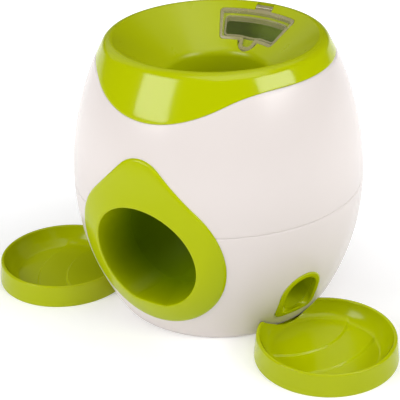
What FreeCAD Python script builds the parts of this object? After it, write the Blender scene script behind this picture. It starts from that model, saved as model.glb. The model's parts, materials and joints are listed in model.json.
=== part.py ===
"""Ball-drop treat dispenser: a barrel that pays out treats when a ball is dropped through it.

Millimetres. +Z is up, the ball comes out towards -Y, and the origin is on the floor under the
middle of the barrel. Every driving dimension is a cell of the sheet "Sizes".
"""
import FreeCAD, Part
import math
import os
import Sketcher

SIZES = {
    # barrel: two arcs of revolution that meet upright at the equator
    "body_radius": 125,
    "body_height": 240,
    "equator_height": 115.4,
    "lower_curve": 212,
    "upper_curve": 250,
    "shell_wall": 2.5,
    "shell_foot": 1.2,
    "seam_gap": 0.15,
    "lap_height": 5,
    "lap_wall": 1.2,
    # wavy joint between the white shell and the green cap, drawn in the front view
    "wave_drop": 38.2,
    "wave_dip_curve": 120,
    "wave_top_curve": 59.3,
    "wave_angle": 27.5,
    "wave_straight": 7.4,
    "skirt_drop": 6,
    "skirt_wall": 1.5,
    "skirt_ramp": 1.5,
    # bowl: rolled rim, cone and throat
    "crest_inset": 38.5,
    "lip_roll": 2.5,
    "cone_angle": 36,
    "throat_radius": 42,
    "throat_round": 4,
    "throat_drop": 52,
    # hatch in the rear wall of the bowl
    "hatch_over_throat": 10.5,
    "hatch_under_crest": 7,
    "hatch_half_angle": 28.5,
    "hatch_corner": 3.5,
    "hatch_gap": 0.35,
    "hatch_ledge": 4.5,
    "ledge_wall": 1.5,
    "ledge_spread_angle": 2.5,
    "window_inset_angle": 3.5,
    "lid_wall": 2,
    "lid_rib_drop": 3,
    "lid_rib_wall": 1.2,
    "lid_rib_angle": 1.1,
    "lid_side_angle": 0.3,
    "lid_span_angle": 8,
    "tab_length": 7.1,
    "tab_half_width": 7.75,
    "tab_end_half_width": 4.4,
    "tab_taper": 1.8,
    "tab_lean": 1.1,
    "thumb_radius": 10,
    "thumb_set": 1.5,
    "hinge_set": 4,
    "hinge_drop": 2.2,
    "hinge_eye": 2.3,
    "hinge_half_width": 8,
    "hinge_block": 5,
    "hinge_cover": 1.5,
    "hinge_root": 2,
    "pin_end_gap": 1.5,
    "pin_radius": 1.2,
    "pin_gap": 0.05,
    # ball outlet surround, a teardrop in the front view
    "surround_radius": 68.5,
    "surround_height": 88,
    "surround_apex": 25,
    "surround_proud": 1.8,
    "surround_flange": 4,
    "mouth_radius": 47,
    "mouth_height": 86,
    "runner_half_width": 14.7,
    "sleeve_wall": 2,
    "sleeve_depth": 73,
    "surround_half_turn": 45,
    # ball chute: neck, elbow and tunnel, made as two halves
    "chute_radius": 44.7,
    "chute_wall": 2,
    "chute_gap": 0.3,
    "bend_radius": 64,
    "neck_over_foot": 16.5,
    "split_gap": 0.05,
    "ear_radius": 4,
    "ear_width": 8,
    "ear_flange": 3,
    "ear_bite": 1,
    "ear_low_angle": 60,
    "post_radius": 6,
    "post_x": 22,
    "post_y": -34,
    "post_top": 56,
    "slot_half_length": 12,
    "slot_lead": 1.8,
    "slot_play": 2,
    "slot_start": 1.5,
    "slot_end": 54.4,
    # side outlets
    "outlet_angle": 67.7,
    "outlet_height": 42,
    "outlet_half_width": 14.6,
    "outlet_half_height": 19.2,
    "collar_side": 7.2,
    "collar_end": 5.2,
    "collar_proud": 1.2,
    "collar_seat": 1.5,
    "plug_depth": 3,
    "collar_half_turn": 20,
    # treat chutes, from the divider round the ball chute to the side outlets
    "treat_wall": 1.8,
    "treat_play": 0.1,
    "treat_head_height": 99,
    "treat_head_half_width": 11.5,
    "treat_head_half_height": 12,
    "treat_bend_x": 51,
    "treat_bend_y": 50,
    "treat_bend_height": 84,
    "treat_bend_turn": 30,
    "knee_inset": 24,
    "knee_height": 50,
    "knee_turn": 44,
    "knee_half_width": 13,
    "knee_half_height": 17,
    "exit_beyond": 10,
    "exit_height": 36.4,
    "exit_half_width": 15.1,
    "exit_half_height": 24,
    # trip and dosing mechanism
    "axle_inset": 42.5,
    "axle_height": 150,
    "axle_radius": 2.5,
    "axle_gap": 0.05,
    "drum_radius": 29,
    "drum_wall": 1.8,
    "drum_half_length": 24.6,
    "drum_hub": 5,
    "drum_gap": 0.5,
    "pocket_top_angle": 90,
    "pocket_rear_angle": 230,
    "frame_wall": 2,
    "cheek_wall": 2.4,
    "side_gap": 0.6,
    "mouth_half_length": 20.5,
    "mouth_half_angle": 19.5,
    "paddle_rest": 5.4,
    "duct_wall": 2,
    "duct_under_foot": 4,
    "duct_foot": 114,
    "flange_wall": 2.5,
    "flange_half_length": 34.5,
    "flange_hole_x": 30.5,
    "flange_hole_y": 8.5,
    "short_screw": 4.5,
    "short_pilot": 2.5,
    "arm_gap": 1.4,
    "arm_wall": 2.5,
    "arm_half_height": 4,
    "bar_gap": 0.7,
    "bar_wall": 3,
    "blade_tip_y": 6.5,
    "blade_half_width": 11,
    "blade_wall": 3,
    "blade_rib": 2.5,
    "spring_start": 32.7,
    "spring_radius": 5,
    "spring_wire": 0.5,
    "spring_turns": 4,
    "spring_pitch": 1.3,
    "spring_leg": 14,
    "peg_radius": 1.2,
    "peg_length": 11,
    "peg_reach": 9.1,
    "moving_peg_reach": 11.9,
    "moving_peg_end": 1.8,
    "peg_gap": 0.02,
    "axle_end": 34,
    "axle_head": 5,
    "axle_head_wall": 2,
    "axle_head_inner": 39,
    "clip_inner": 2,
    "clip_radius": 4.6,
    "clip_wall": 0.8,
    "clip_half_opening": 1.7,
    # hopper
    "hopper_inner": 50,
    "hopper_inset": 30.5,
    "hopper_half_angle": 58,
    "hopper_corner": 4,
    "hopper_wall": 2,
    "hopper_brim_drop": 18,
    "hopper_under_bowl": 0.5,
    "hopper_lift": 0.5,
    "ear_arm_bite": 1.6,
    "funnel_side_slope": 23,
    "funnel_front_slope": 40,
    "ear_angle": 63,
    "ear_beyond_crest": 2.5,
    "ear_drop": 28.5,
    "ear_wall": 2.5,
    # treat divider
    "divider_half_width": 26,
    "divider_half_depth": 14.5,
    "divider_foot": 82,
    "divider_wall": 2,
    "ridge_height": 109,
    "ridge_edge": 86,
    "ridge_wall": 8.5,
    "stand_set": 9.5,
    "stand_top": 98,
    # base plate and feet
    "plate_height": 9,
    "plate_wall": 2.5,
    "plate_gap": 0.3,
    "seat_width": 13.2,
    "seat_wall": 2.5,
    "base_screw_inset": 8.2,
    "base_boss": 4,
    "base_boss_height": 8,
    "foot_inset": 23.2,
    "foot_radius": 7,
    "foot_socket": 4,
    "foot_play": 0.15,
    "rail_gap": 0.5,
    "rail_wall": 2,
    "rail_lip": 5,
    "rail_length": 18,
    "rail_inset": 7.2,
    "rail_low": 0.8,
    # cap screws
    "bowl_screw_beyond_crest": 6.5,
    "bowl_boss": 3.6,
    "bowl_boss_depth": 10,
    "ear_boss_depth": 4,
    "lug_drop": 31.5,
    "lug_wall": 3,
    "lug_half_width": 5,
    # screws
    "screw_radius": 1.25,
    "screw_length": 10,
    "screw_head": 2.7,
    "screw_head_height": 1.7,
    "screw_gap": 0.2,
    # trays
    "tray_beyond_plate": 52.8,
    "tray_base": 60,
    "tray_crest": 56.5,
    "tray_foot_skin": 1.8,
    "tray_rim_foot": 3,
    "tray_lip": 1.7,
    "tray_lip_height": 18.3,
    "tray_floor": 5.4,
    "tray_floor_radius": 46.9,
    "tray_fillet": 2.8,
    "tray_under": 2.2,
    "tray_gap": 0.8,
    "tray_sill": 5.3,
    "ripple_centre": 61,
    "ripple_inner": 58,
    "ripple_outer": 84,
    "ripple_step": 0.8,
    "tongue_half_width": 19,
    "tongue_reach": 72,
    "tongue_low": 2.3,
    "tongue_wall": 2.6,
    "slot_half_width": 22,
    "slot_height": 8,
    # how far a cut runs past a face
    "cut_over": 1,
}

doc = FreeCAD.newDocument("TreatDispenser")
sheet = doc.addObject("Spreadsheet::Sheet", "Sizes")
sheet.set("A1", "size")
sheet.set("B1", "mm or degrees")
for row, (alias, number) in enumerate(SIZES.items(), start=2):
    sheet.set(f"A{row}", alias)
    sheet.set(f"B{row}", str(number))
    sheet.setAlias(f"B{row}", alias)
doc.recompute()


class Size:
    """A length or angle of the sheet, or one worked out from it, with the expression that gives it."""

    def __init__(self, number, text):
        self.number = float(number)
        self.text = text

    def __add__(self, other):
        other = as_size(other)
        return Size(self.number + other.number, f"({self.text} + {other.text})")

    def __sub__(self, other):
        other = as_size(other)
        return Size(self.number - other.number, f"({self.text} - {other.text})")

    def __mul__(self, other):
        other = as_size(other)
        return Size(self.number * other.number, f"({self.text} * {other.text})")

    def __truediv__(self, other):
        other = as_size(other)
        return Size(self.number / other.number, f"({self.text} / {other.text})")

    def __neg__(self):
        return Size(-self.number, f"(0 - {self.text})")

    def __radd__(self, other):
        return as_size(other) + self

    def __rsub__(self, other):
        return as_size(other) - self

    def __rmul__(self, other):
        return as_size(other) * self


def as_size(value):
    return value if isinstance(value, Size) else Size(value, repr(float(value)))


def size(alias):
    return Size(getattr(sheet, alias), f"Sizes.{alias}")


def root(value):
    return Size(math.sqrt(value.number), f"sqrt({value.text})")


def sine(angle):
    return Size(math.sin(math.radians(angle.number)), f"sin({angle.text})")


def cosine(angle):
    return Size(math.cos(math.radians(angle.number)), f"cos({angle.text})")


def tangent(angle):
    return Size(math.tan(math.radians(angle.number)), f"tan({angle.text})")


ZERO = Size(0, "0")
DEGREES = Size(math.degrees(1), "180 / pi")
FRONT, BACK = -1, 1
LEFT, RIGHT = -1, 1
parts = {}


# ---------------------------------------------------------------- sketches and features

def new_body(label):
    body = doc.addObject("PartDesign::Body", label)
    body.Label = label
    parts[label] = body
    return body


def new_sketch(body, plane, lift=ZERO, across=ZERO, up=ZERO, turn=0.0, tilt=0.0, spin=0.0):
    """A sketch on an origin plane: lifted along its normal, then turned about its upright axis,
    tilted about its level axis and spun about its normal."""
    sketch = body.newObject("Sketcher::SketchObject", "Sketch")
    support = [item for item in body.Origin.OriginFeatures if item.Role == plane][0]
    sketch.AttachmentSupport = [(support, "")]
    sketch.MapMode = "FlatFace"
    about_upright = FreeCAD.Rotation(FreeCAD.Vector(0, 1, 0), turn)
    about_level = FreeCAD.Rotation(FreeCAD.Vector(1, 0, 0), tilt)
    about_normal = FreeCAD.Rotation(FreeCAD.Vector(0, 0, 1), spin)
    across, up, lift = as_size(across), as_size(up), as_size(lift)
    spot = FreeCAD.Vector(across.number, up.number, lift.number)
    sketch.AttachmentOffset = FreeCAD.Placement(spot, about_upright * about_level * about_normal)
    sketch.setExpression("AttachmentOffset.Base.x", across.text)
    sketch.setExpression("AttachmentOffset.Base.y", up.text)
    sketch.setExpression("AttachmentOffset.Base.z", lift.text)
    return sketch


def fix(sketch, kind, *args):
    """Adds a dimension whose value is the last argument, and binds it to its expression."""
    *where, value = args
    index = sketch.addConstraint(Sketcher.Constraint(kind, *where, value.number))
    sketch.setExpression(f"Constraints[{index}]", value.text)


def arc_between(begin, end, radius):
    """The shorter arc from begin to end: left-turning for a positive radius, else right-turning."""
    middle = (begin + end) / 2
    chord = end - begin
    rise = math.sqrt(max(radius * radius - (chord.Length / 2) ** 2, 0.0))
    aside = FreeCAD.Vector(-chord.y, chord.x, 0).normalize()
    centre = middle + aside * math.copysign(rise, radius)
    circle = Part.Circle(centre, FreeCAD.Vector(0, 0, 1), abs(radius))
    first, last = (begin, end) if radius > 0 else (end, begin)
    angles = [math.atan2(p.y - centre.y, p.x - centre.x) for p in (first, last)]
    if angles[1] <= angles[0]:
        angles[1] += 2 * math.pi
    return Part.ArcOfCircle(circle, *angles)


def outline(sketch, corners):
    """A closed outline. A corner is (x, y), reached by a line, or (x, y, radius), by an arc."""
    corners = [tuple(as_size(value) for value in corner) for corner in corners]
    spots = [FreeCAD.Vector(corner[0].number, corner[1].number, 0) for corner in corners]
    ends = []
    for k, corner in enumerate(corners):
        begin, end = spots[k - 1], spots[k]
        if len(corner) == 2:
            index = sketch.addGeometry(Part.LineSegment(begin, end), False)
            ends.append((index, 1, 2))
        else:
            radius = corner[2]
            index = sketch.addGeometry(arc_between(begin, end, radius.number), False)
            ends.append((index, 1, 2) if radius.number > 0 else (index, 2, 1))
    for k, (index, _, tail) in enumerate(ends):
        following, head, _ = ends[(k + 1) % len(ends)]
        sketch.addConstraint(Sketcher.Constraint("Coincident", index, tail, following, head))
        fix(sketch, "DistanceX", -1, 1, index, tail, corners[k][0])
        fix(sketch, "DistanceY", -1, 1, index, tail, corners[k][1])
    for (index, _, _), corner in zip(ends, corners):
        if len(corner) == 3:
            radius = corner[2] if corner[2].number > 0 else -corner[2]
            fix(sketch, "Radius", index, radius)


def circle(sketch, x, y, radius):
    x, y, radius = as_size(x), as_size(y), as_size(radius)
    centre = FreeCAD.Vector(x.number, y.number, 0)
    shape = Part.Circle(centre, FreeCAD.Vector(0, 0, 1), radius.number)
    index = sketch.addGeometry(shape, False)
    fix(sketch, "DistanceX", -1, 1, index, 3, x)
    fix(sketch, "DistanceY", -1, 1, index, 3, y)
    fix(sketch, "Radius", index, radius)


def rectangle(sketch, left, low, right, high):
    outline(sketch, [(left, low), (right, low), (right, high), (left, high)])


def stadium(sketch, x, y, half_width, half_height):
    """An upright oblong with half-round ends."""
    x, y = as_size(x), as_size(y)
    flat = half_height - half_width
    outline(sketch, [
        (x - half_width, y - flat),
        (x, y - half_height, half_width),
        (x + half_width, y - flat, half_width),
        (x + half_width, y + flat),
        (x, y + half_height, half_width),
        (x - half_width, y + flat, half_width),
    ])


def add_feature(body, kind, sketch):
    feature = body.newObject(kind, kind.split("::")[1])
    feature.Profile = sketch
    sketch.Visibility = False
    return feature


def pad(body, sketch, length, both=False, back=False):
    feature = add_feature(body, "PartDesign::Pad", sketch)
    feature.setExpression("Length", as_size(length).text)
    feature.Midplane = both
    feature.Reversed = back
    doc.recompute()
    return feature


def cut(body, sketch, length, both=False, back=False):
    """A pocket against the sketch's normal, or along it when back is set. It has to remove something."""
    doc.recompute()
    before = body.Shape.Volume
    feature = add_feature(body, "PartDesign::Pocket", sketch)
    feature.setExpression("Length", as_size(length).text)
    feature.Midplane = both
    feature.Reversed = back
    doc.recompute()
    if not body.Shape.Volume < before - 1e-6:
        raise ValueError(f"{body.Label}: {feature.Name} cuts nothing")
    return feature


def turn(body, sketch, angle=360, both=False, remove=False, axis="V_Axis", back=False):
    """A revolution about the sketch's upright axis, or a groove when remove is set."""
    doc.recompute()
    before = body.Shape.Volume if remove else 0
    feature = add_feature(body, "PartDesign::Groove" if remove else "PartDesign::Revolution", sketch)
    feature.ReferenceAxis = (sketch, [axis])
    feature.setExpression("Angle", as_size(angle).text)
    feature.Midplane = both
    feature.Reversed = back
    doc.recompute()
    if remove and not body.Shape.Volume < before - 1e-6:
        raise ValueError(f"{body.Label}: {feature.Name} cuts nothing")
    return feature


def loft(body, sections, remove=False):
    kind = "PartDesign::SubtractiveLoft" if remove else "PartDesign::AdditiveLoft"
    feature = add_feature(body, kind, sections[0])
    feature.Sections = sections[1:]
    feature.Ruled = True
    doc.recompute()
    return feature


def place(body, position, axis=(0, 0, 1), angle=0.0):
    spot = FreeCAD.Vector(*[as_size(value).number for value in position])
    body.Placement = FreeCAD.Placement(spot, FreeCAD.Rotation(FreeCAD.Vector(*axis), angle))


def polar(pitch, angle):
    """The point at a distance from the barrel's axis and an angle from +X, in degrees."""
    angle = as_size(angle)
    return pitch * cosine(angle), pitch * sine(angle)


# ---------------------------------------------------------------- the barrel's surface

EQUATOR = size("equator_height")
BODY = size("body_radius")


def barrel(height, offset=ZERO):
    """Radius of the barrel at a height, on a surface that lies offset outside it."""
    height = as_size(height)
    curve = size("lower_curve") if height.number < EQUATOR.number else size("upper_curve")
    reach = curve + offset
    rise = height - EQUATOR
    return BODY - curve + root(reach * reach - rise * rise)


def barrel_ring(low, high, outer, inner, side=1):
    """Corners of the layer between two offsets of the barrel, from one height to another.

    side is 1 for a profile to the right of the axis and -1 for one to its left.
    """
    low, high = as_size(low), as_size(high)
    below = low.number < EQUATOR.number
    above = high.number > EQUATOR.number
    corners = [(side * barrel(low, inner), low), (side * barrel(low, outer), low)]
    if below and above:
        corners.append((side * (BODY + outer), EQUATOR, side * (size("lower_curve") + outer)))
    last_curve = size("upper_curve") if above else size("lower_curve")
    corners.append((side * barrel(high, outer), high, side * (last_curve + outer)))
    corners.append((side * barrel(high, inner), high))
    if below and above:
        corners.append((side * (BODY + inner), EQUATOR, -side * (size("upper_curve") + inner)))
    first_curve = size("lower_curve") if below else size("upper_curve")
    corners[0] = corners[0] + (-side * (first_curve + inner),)
    return corners


WALL = size("shell_wall")
GAP = size("seam_gap")
OVER = size("cut_over")
TOP = size("body_height")
CREST = BODY - size("crest_inset")
WAVE_LOW = TOP - size("wave_drop")
THROAT_FOOT = TOP - size("throat_drop")
PLATE_RADIUS = barrel(size("plate_height"), -WALL) - size("plate_gap")
OUTLET_RADIUS = barrel(size("outlet_height"))
PROUD = size("surround_proud")


def wave(drop=ZERO):
    """The joint between shell and cap in the front view, from left to right, lowered by drop."""
    angle = size("wave_angle")
    dip = size("wave_dip_curve") + drop
    top = size("wave_top_curve") - drop
    low = WAVE_LOW - drop
    straight = size("wave_straight")
    x_dip = dip * sine(angle)
    z_dip = low + dip * (1 - cosine(angle))
    x_top = x_dip + straight * cosine(angle)
    z_top = z_dip + straight * sine(angle)
    x_end = x_top + top * sine(angle)
    z_end = z_top + top * (1 - cosine(angle))
    return [
        (-x_end, z_end),
        (-x_top, z_top, -top),
        (-x_dip, z_dip),
        (ZERO, low, dip),
        (x_dip, z_dip, dip),
        (x_top, z_top),
        (x_end, z_end, -top),
    ]


CAP_EDGE = wave()[0][1]


def teardrop(sketch, inset=ZERO):
    """The surround's outline in the front view, drawn inwards by inset."""
    radius = size("surround_radius") - inset
    middle = size("surround_height")
    apex = size("surround_apex") - inset
    slant = cosine(as_size(45))
    apex_middle = middle + (size("surround_radius") - size("surround_apex")) / slant
    outline(sketch, [
        (-radius * slant, middle + radius * slant),
        (-radius, middle, radius),
        (ZERO, middle - radius, radius),
        (radius, middle, radius),
        (radius * slant, middle + radius * slant, radius),
        (apex * slant, apex_middle + apex * slant),
        (ZERO, apex_middle + apex, apex),
        (-apex * slant, apex_middle + apex * slant, apex),
    ])


FAR = size("body_radius") * 1.2
OUTLET_TURN = size("outlet_angle")
COLLAR_HALF_WIDTH = size("outlet_half_width") + size("collar_side")
COLLAR_HALF_HEIGHT = size("outlet_half_height") + size("collar_end")

# ---------------------------------------------------------------- white shells

SMALL_TEARDROP = size("surround_flange")
SEAT_RADIUS = PLATE_RADIUS - size("seat_width")
BASE_SCREW_PITCH = PLATE_RADIUS - size("base_screw_inset")
BOWL_SCREW_PITCH = CREST + size("bowl_screw_beyond_crest")
LUG_HEIGHT = TOP - size("lug_drop")
EAR_PITCH = CREST + size("ear_beyond_crest")
EAR_HEIGHT = TOP - size("ear_drop")
AXLE_Y = BODY - size("axle_inset")
BLADE_REACH = AXLE_Y - size("blade_tip_y")
STAND_Y = AXLE_Y - size("stand_set")
SCREW_HOLE = size("screw_radius") + size("screw_gap")
SEAT_HEIGHT = size("plate_height") + size("plate_wall")
BASE_SCREW_ANGLES = (30, 150, 240, 300)
BOWL_SCREW_ANGLES = (20, 160, 225, 315)
HOPPER_SCREW_ANGLES = (90 - SIZES["ear_angle"], 90 + SIZES["ear_angle"])


def cut_surround_hole(body):
    hole = new_sketch(body, "XZ_Plane")
    teardrop(hole, SMALL_TEARDROP - GAP)
    cut(body, hole, FAR, back=True)


def drill(body, pitch, angles, low, depth):
    """Upright screw holes on a circle, from low upwards."""
    holes = new_sketch(body, "XY_Plane", lift=low)
    for angle in angles:
        circle(holes, *polar(pitch, angle), SCREW_HOLE)
    cut(body, holes, depth, back=True)


def lower_shell():
    body = new_body("lower_shell")
    foot = size("shell_foot")
    tongue = BODY - WALL + size("lap_wall")
    tongue_top = EQUATOR + size("lap_height")
    profile = new_sketch(body, "XZ_Plane")
    outline(profile, [
        (barrel(foot, -WALL), foot, -(size("lower_curve") - WALL)),
        (barrel(foot), foot),
        (BODY, EQUATOR, size("lower_curve")),
        (tongue, EQUATOR),
        (tongue, tongue_top),
        (BODY - WALL, tongue_top),
        (BODY - WALL, EQUATOR),
    ])
    turn(body, profile)
    seat_top = SEAT_HEIGHT + size("seat_wall")
    seat = new_sketch(body, "XZ_Plane")
    outline(seat, [
        (SEAT_RADIUS, SEAT_HEIGHT),
        (barrel(SEAT_HEIGHT, -WALL / 2), SEAT_HEIGHT),
        (barrel(seat_top, -WALL / 2), seat_top),
        (SEAT_RADIUS, seat_top),
    ])
    turn(body, seat)
    bosses = new_sketch(body, "XY_Plane", lift=seat_top)
    for angle in BASE_SCREW_ANGLES:
        circle(bosses, *polar(BASE_SCREW_PITCH, angle), size("base_boss"))
    pad(body, bosses, size("base_boss_height"))
    drill(body, BASE_SCREW_PITCH, BASE_SCREW_ANGLES, SEAT_HEIGHT, FAR)
    cut_surround_hole(body)
    for side in (LEFT, RIGHT):
        outlet = new_sketch(body, "XZ_Plane", turn=side * OUTLET_TURN.number)
        play = size("collar_seat") - GAP
        stadium(outlet, ZERO, size("outlet_height"), COLLAR_HALF_WIDTH - play, COLLAR_HALF_HEIGHT - play)
        cut(body, outlet, FAR, back=True)
        slot = new_sketch(body, "XZ_Plane", turn=side * OUTLET_TURN.number)
        rectangle(slot, -size("slot_half_width"), ZERO, size("slot_half_width"), size("slot_height"))
        cut(body, slot, FAR, back=True)


def upper_shell():
    body = new_body("upper_shell")
    curve = size("upper_curve")
    low = EQUATOR + GAP
    lap_top = EQUATOR + size("lap_height") + GAP
    top = CAP_EDGE - GAP
    recess = BODY - WALL + size("lap_wall") + GAP
    profile = new_sketch(body, "XZ_Plane")
    outline(profile, [
        (recess, low),
        (barrel(low), low),
        (barrel(top), top, curve),
        (barrel(top, -WALL), top),
        (barrel(lap_top, -WALL), lap_top, -(curve - WALL)),
        (recess, lap_top),
    ])
    turn(body, profile)
    for angle in BOWL_SCREW_ANGLES:
        lug = new_sketch(body, "XY_Plane", lift=LUG_HEIGHT, spin=angle)
        inner = BOWL_SCREW_PITCH - size("lug_half_width")
        outer = barrel(LUG_HEIGHT + size("lug_wall"), -WALL / 2)
        rectangle(lug, inner, -size("lug_half_width"), outer, size("lug_half_width"))
        pad(body, lug, size("lug_wall"))
    drill(body, BOWL_SCREW_PITCH, BOWL_SCREW_ANGLES, LUG_HEIGHT, size("lug_wall"))
    cut_surround_hole(body)
    above = new_sketch(body, "XZ_Plane", lift=size("throat_radius"))
    edge = wave(GAP)
    over = CAP_EDGE + size("lap_height")
    outline(above, edge + [(edge[-1][0], over), (edge[0][0], over)])
    cut(body, above, FAR, back=True)


# ---------------------------------------------------------------- green bowl and cap

LIP = size("lip_roll")
CONE = size("cone_angle")
CONE_TOP_R = CREST - LIP * sine(CONE)
CONE_TOP_Z = TOP - LIP + LIP * cosine(CONE)


def cone(radius):
    """Height of the bowl's surface at a radius."""
    return CONE_TOP_Z - (CONE_TOP_R - radius) * tangent(CONE)


def cone_layer(sketch, inner, outer, top_depth, low_depth):
    """A layer under the bowl's surface, with depths measured square to it."""
    top_drop = as_size(top_depth) / cosine(CONE)
    low_drop = as_size(low_depth) / cosine(CONE)
    outline(sketch, [
        (inner, cone(inner) - low_drop),
        (outer, cone(outer) - low_drop),
        (outer, cone(outer) - top_drop),
        (inner, cone(inner) - top_drop),
    ])


def sector_outline(sketch, inner, outer, half_angle, corner, bite=()):
    """A ring sector about +Y with rounded corners. bite holds corners set into the inner arc."""
    side = sine(half_angle), cosine(half_angle)
    outer_middle = outer - corner
    outer_along = root(outer_middle * outer_middle - corner * corner)
    inner_middle = inner + corner
    inner_along = root(inner_middle * inner_middle - corner * corner)

    def on_arc(along, middle, radius):
        scale = radius / middle
        return (side[0] * along - side[1] * corner) * scale, (side[1] * along + side[0] * corner) * scale

    arc_out = on_arc(outer_along, outer_middle, outer)
    arc_in = on_arc(inner_along, inner_middle, inner)
    corners = [
        (side[0] * inner_along, side[1] * inner_along, corner),
        (side[0] * outer_along, side[1] * outer_along),
        (*arc_out, corner),
        (ZERO, outer, outer),
        (-arc_out[0], arc_out[1], outer),
        (-side[0] * outer_along, side[1] * outer_along, corner),
        (-side[0] * inner_along, side[1] * inner_along),
        (-arc_in[0], arc_in[1], corner),
    ]
    if bite:
        corners.append((*bite[0], -inner))
        corners.extend(bite[1:])
    corners.append((*arc_in, -inner))
    outline(sketch, corners)


HATCH_IN = size("throat_radius") + size("hatch_over_throat")
HATCH_OUT = CREST - size("hatch_under_crest")
THUMB_MIDDLE = HATCH_IN + size("thumb_set")
TAB_REACH = HATCH_IN - size("tab_length")
HINGE_R = HATCH_OUT + size("hinge_set")
HINGE_Z = cone(HINGE_R) - size("hinge_drop")
HATCH_ANGLE = size("hatch_half_angle")
WINDOW_EDGE = size("hatch_ledge")
WINDOW_ANGLE = HATCH_ANGLE - size("window_inset_angle")


def thumb_notch():
    """The round bite that the notch takes out of the hatch's inner arc, from left to right."""
    radius, middle = size("thumb_radius"), THUMB_MIDDLE
    high = (HATCH_IN * HATCH_IN + middle * middle - radius * radius) / (middle * 2)
    half = root(HATCH_IN * HATCH_IN - high * high)
    return [(-half, high), (ZERO, middle - radius, radius), (half, high, radius)]


def rim_roll():
    """Radius of the rim's outer roll, which runs smoothly from the barrel to the crest."""
    curve = size("upper_curve")
    across = CREST - BODY + curve
    rise = TOP - EQUATOR
    return (curve * curve - across * across - rise * rise) / ((curve - rise) * 2)


def bowl_profile(sketch):
    curve = size("upper_curve")
    roll = rim_roll()
    across = CREST - BODY + curve
    rise = TOP - EQUATOR - roll
    throat = size("throat_radius")
    foot = THROAT_FOOT
    fillet = size("throat_round")
    bend_r = throat + fillet * (1 - sine(CONE))
    bend_z = cone(bend_r)
    middle_z = bend_z - fillet * cosine(CONE)
    under = fillet - WALL
    under_z = TOP - WALL
    under_r = CREST - (LIP - WALL) * (1 - cosine(CONE)) / sine(CONE)
    skirt = WALL + GAP + size("skirt_wall")
    skirt_shoulder = CAP_EDGE + size("skirt_ramp")
    skirt_top = skirt_shoulder + size("skirt_ramp")
    skirt_foot = CAP_EDGE - size("skirt_drop")

    def beside_roll(reach):
        return BODY - curve + across * reach / (curve - roll), EQUATOR + rise * reach / (curve - roll)

    outline(sketch, [
        (barrel(CAP_EDGE), CAP_EDGE),
        (*beside_roll(curve), curve),
        (CREST, TOP, roll),
        (CONE_TOP_R, CONE_TOP_Z, LIP),
        (bend_r, bend_z),
        (throat, middle_z, fillet),
        (throat, foot),
        (throat + WALL, foot),
        (throat + WALL, middle_z),
        (throat + fillet - under * sine(CONE), middle_z + under * cosine(CONE), -under),
        (under_r, under_z),
        (*beside_roll(curve - WALL), -(roll - WALL)),
        (barrel(skirt_top, -WALL), skirt_top, -(curve - WALL)),
        (barrel(skirt_shoulder, -skirt), skirt_shoulder),
        (barrel(skirt_foot, -skirt), skirt_foot, -(curve - skirt)),
        (barrel(skirt_foot, -WALL - GAP), skirt_foot),
        (barrel(CAP_EDGE, -WALL - GAP), CAP_EDGE, curve - WALL - GAP),
    ])


def front_lobe(body, outer, inner, drop):
    """The part of the cap, or of its skirt, that hangs into the front wave."""
    layer = new_sketch(body, "YZ_Plane")
    low = WAVE_LOW - drop - OVER
    outline(layer, barrel_ring(low, CAP_EDGE + OVER, outer, inner, side=-1))
    turn(body, layer, angle=150, both=True)
    below = new_sketch(body, "XZ_Plane")
    edge = wave(drop)
    level = edge[0][1]
    under = WAVE_LOW / 2
    outline(below, [(-FAR, under), (-FAR, level)] + edge + [(FAR, level), (FAR, under)])
    cut(body, below, FAR, back=True)


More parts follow.
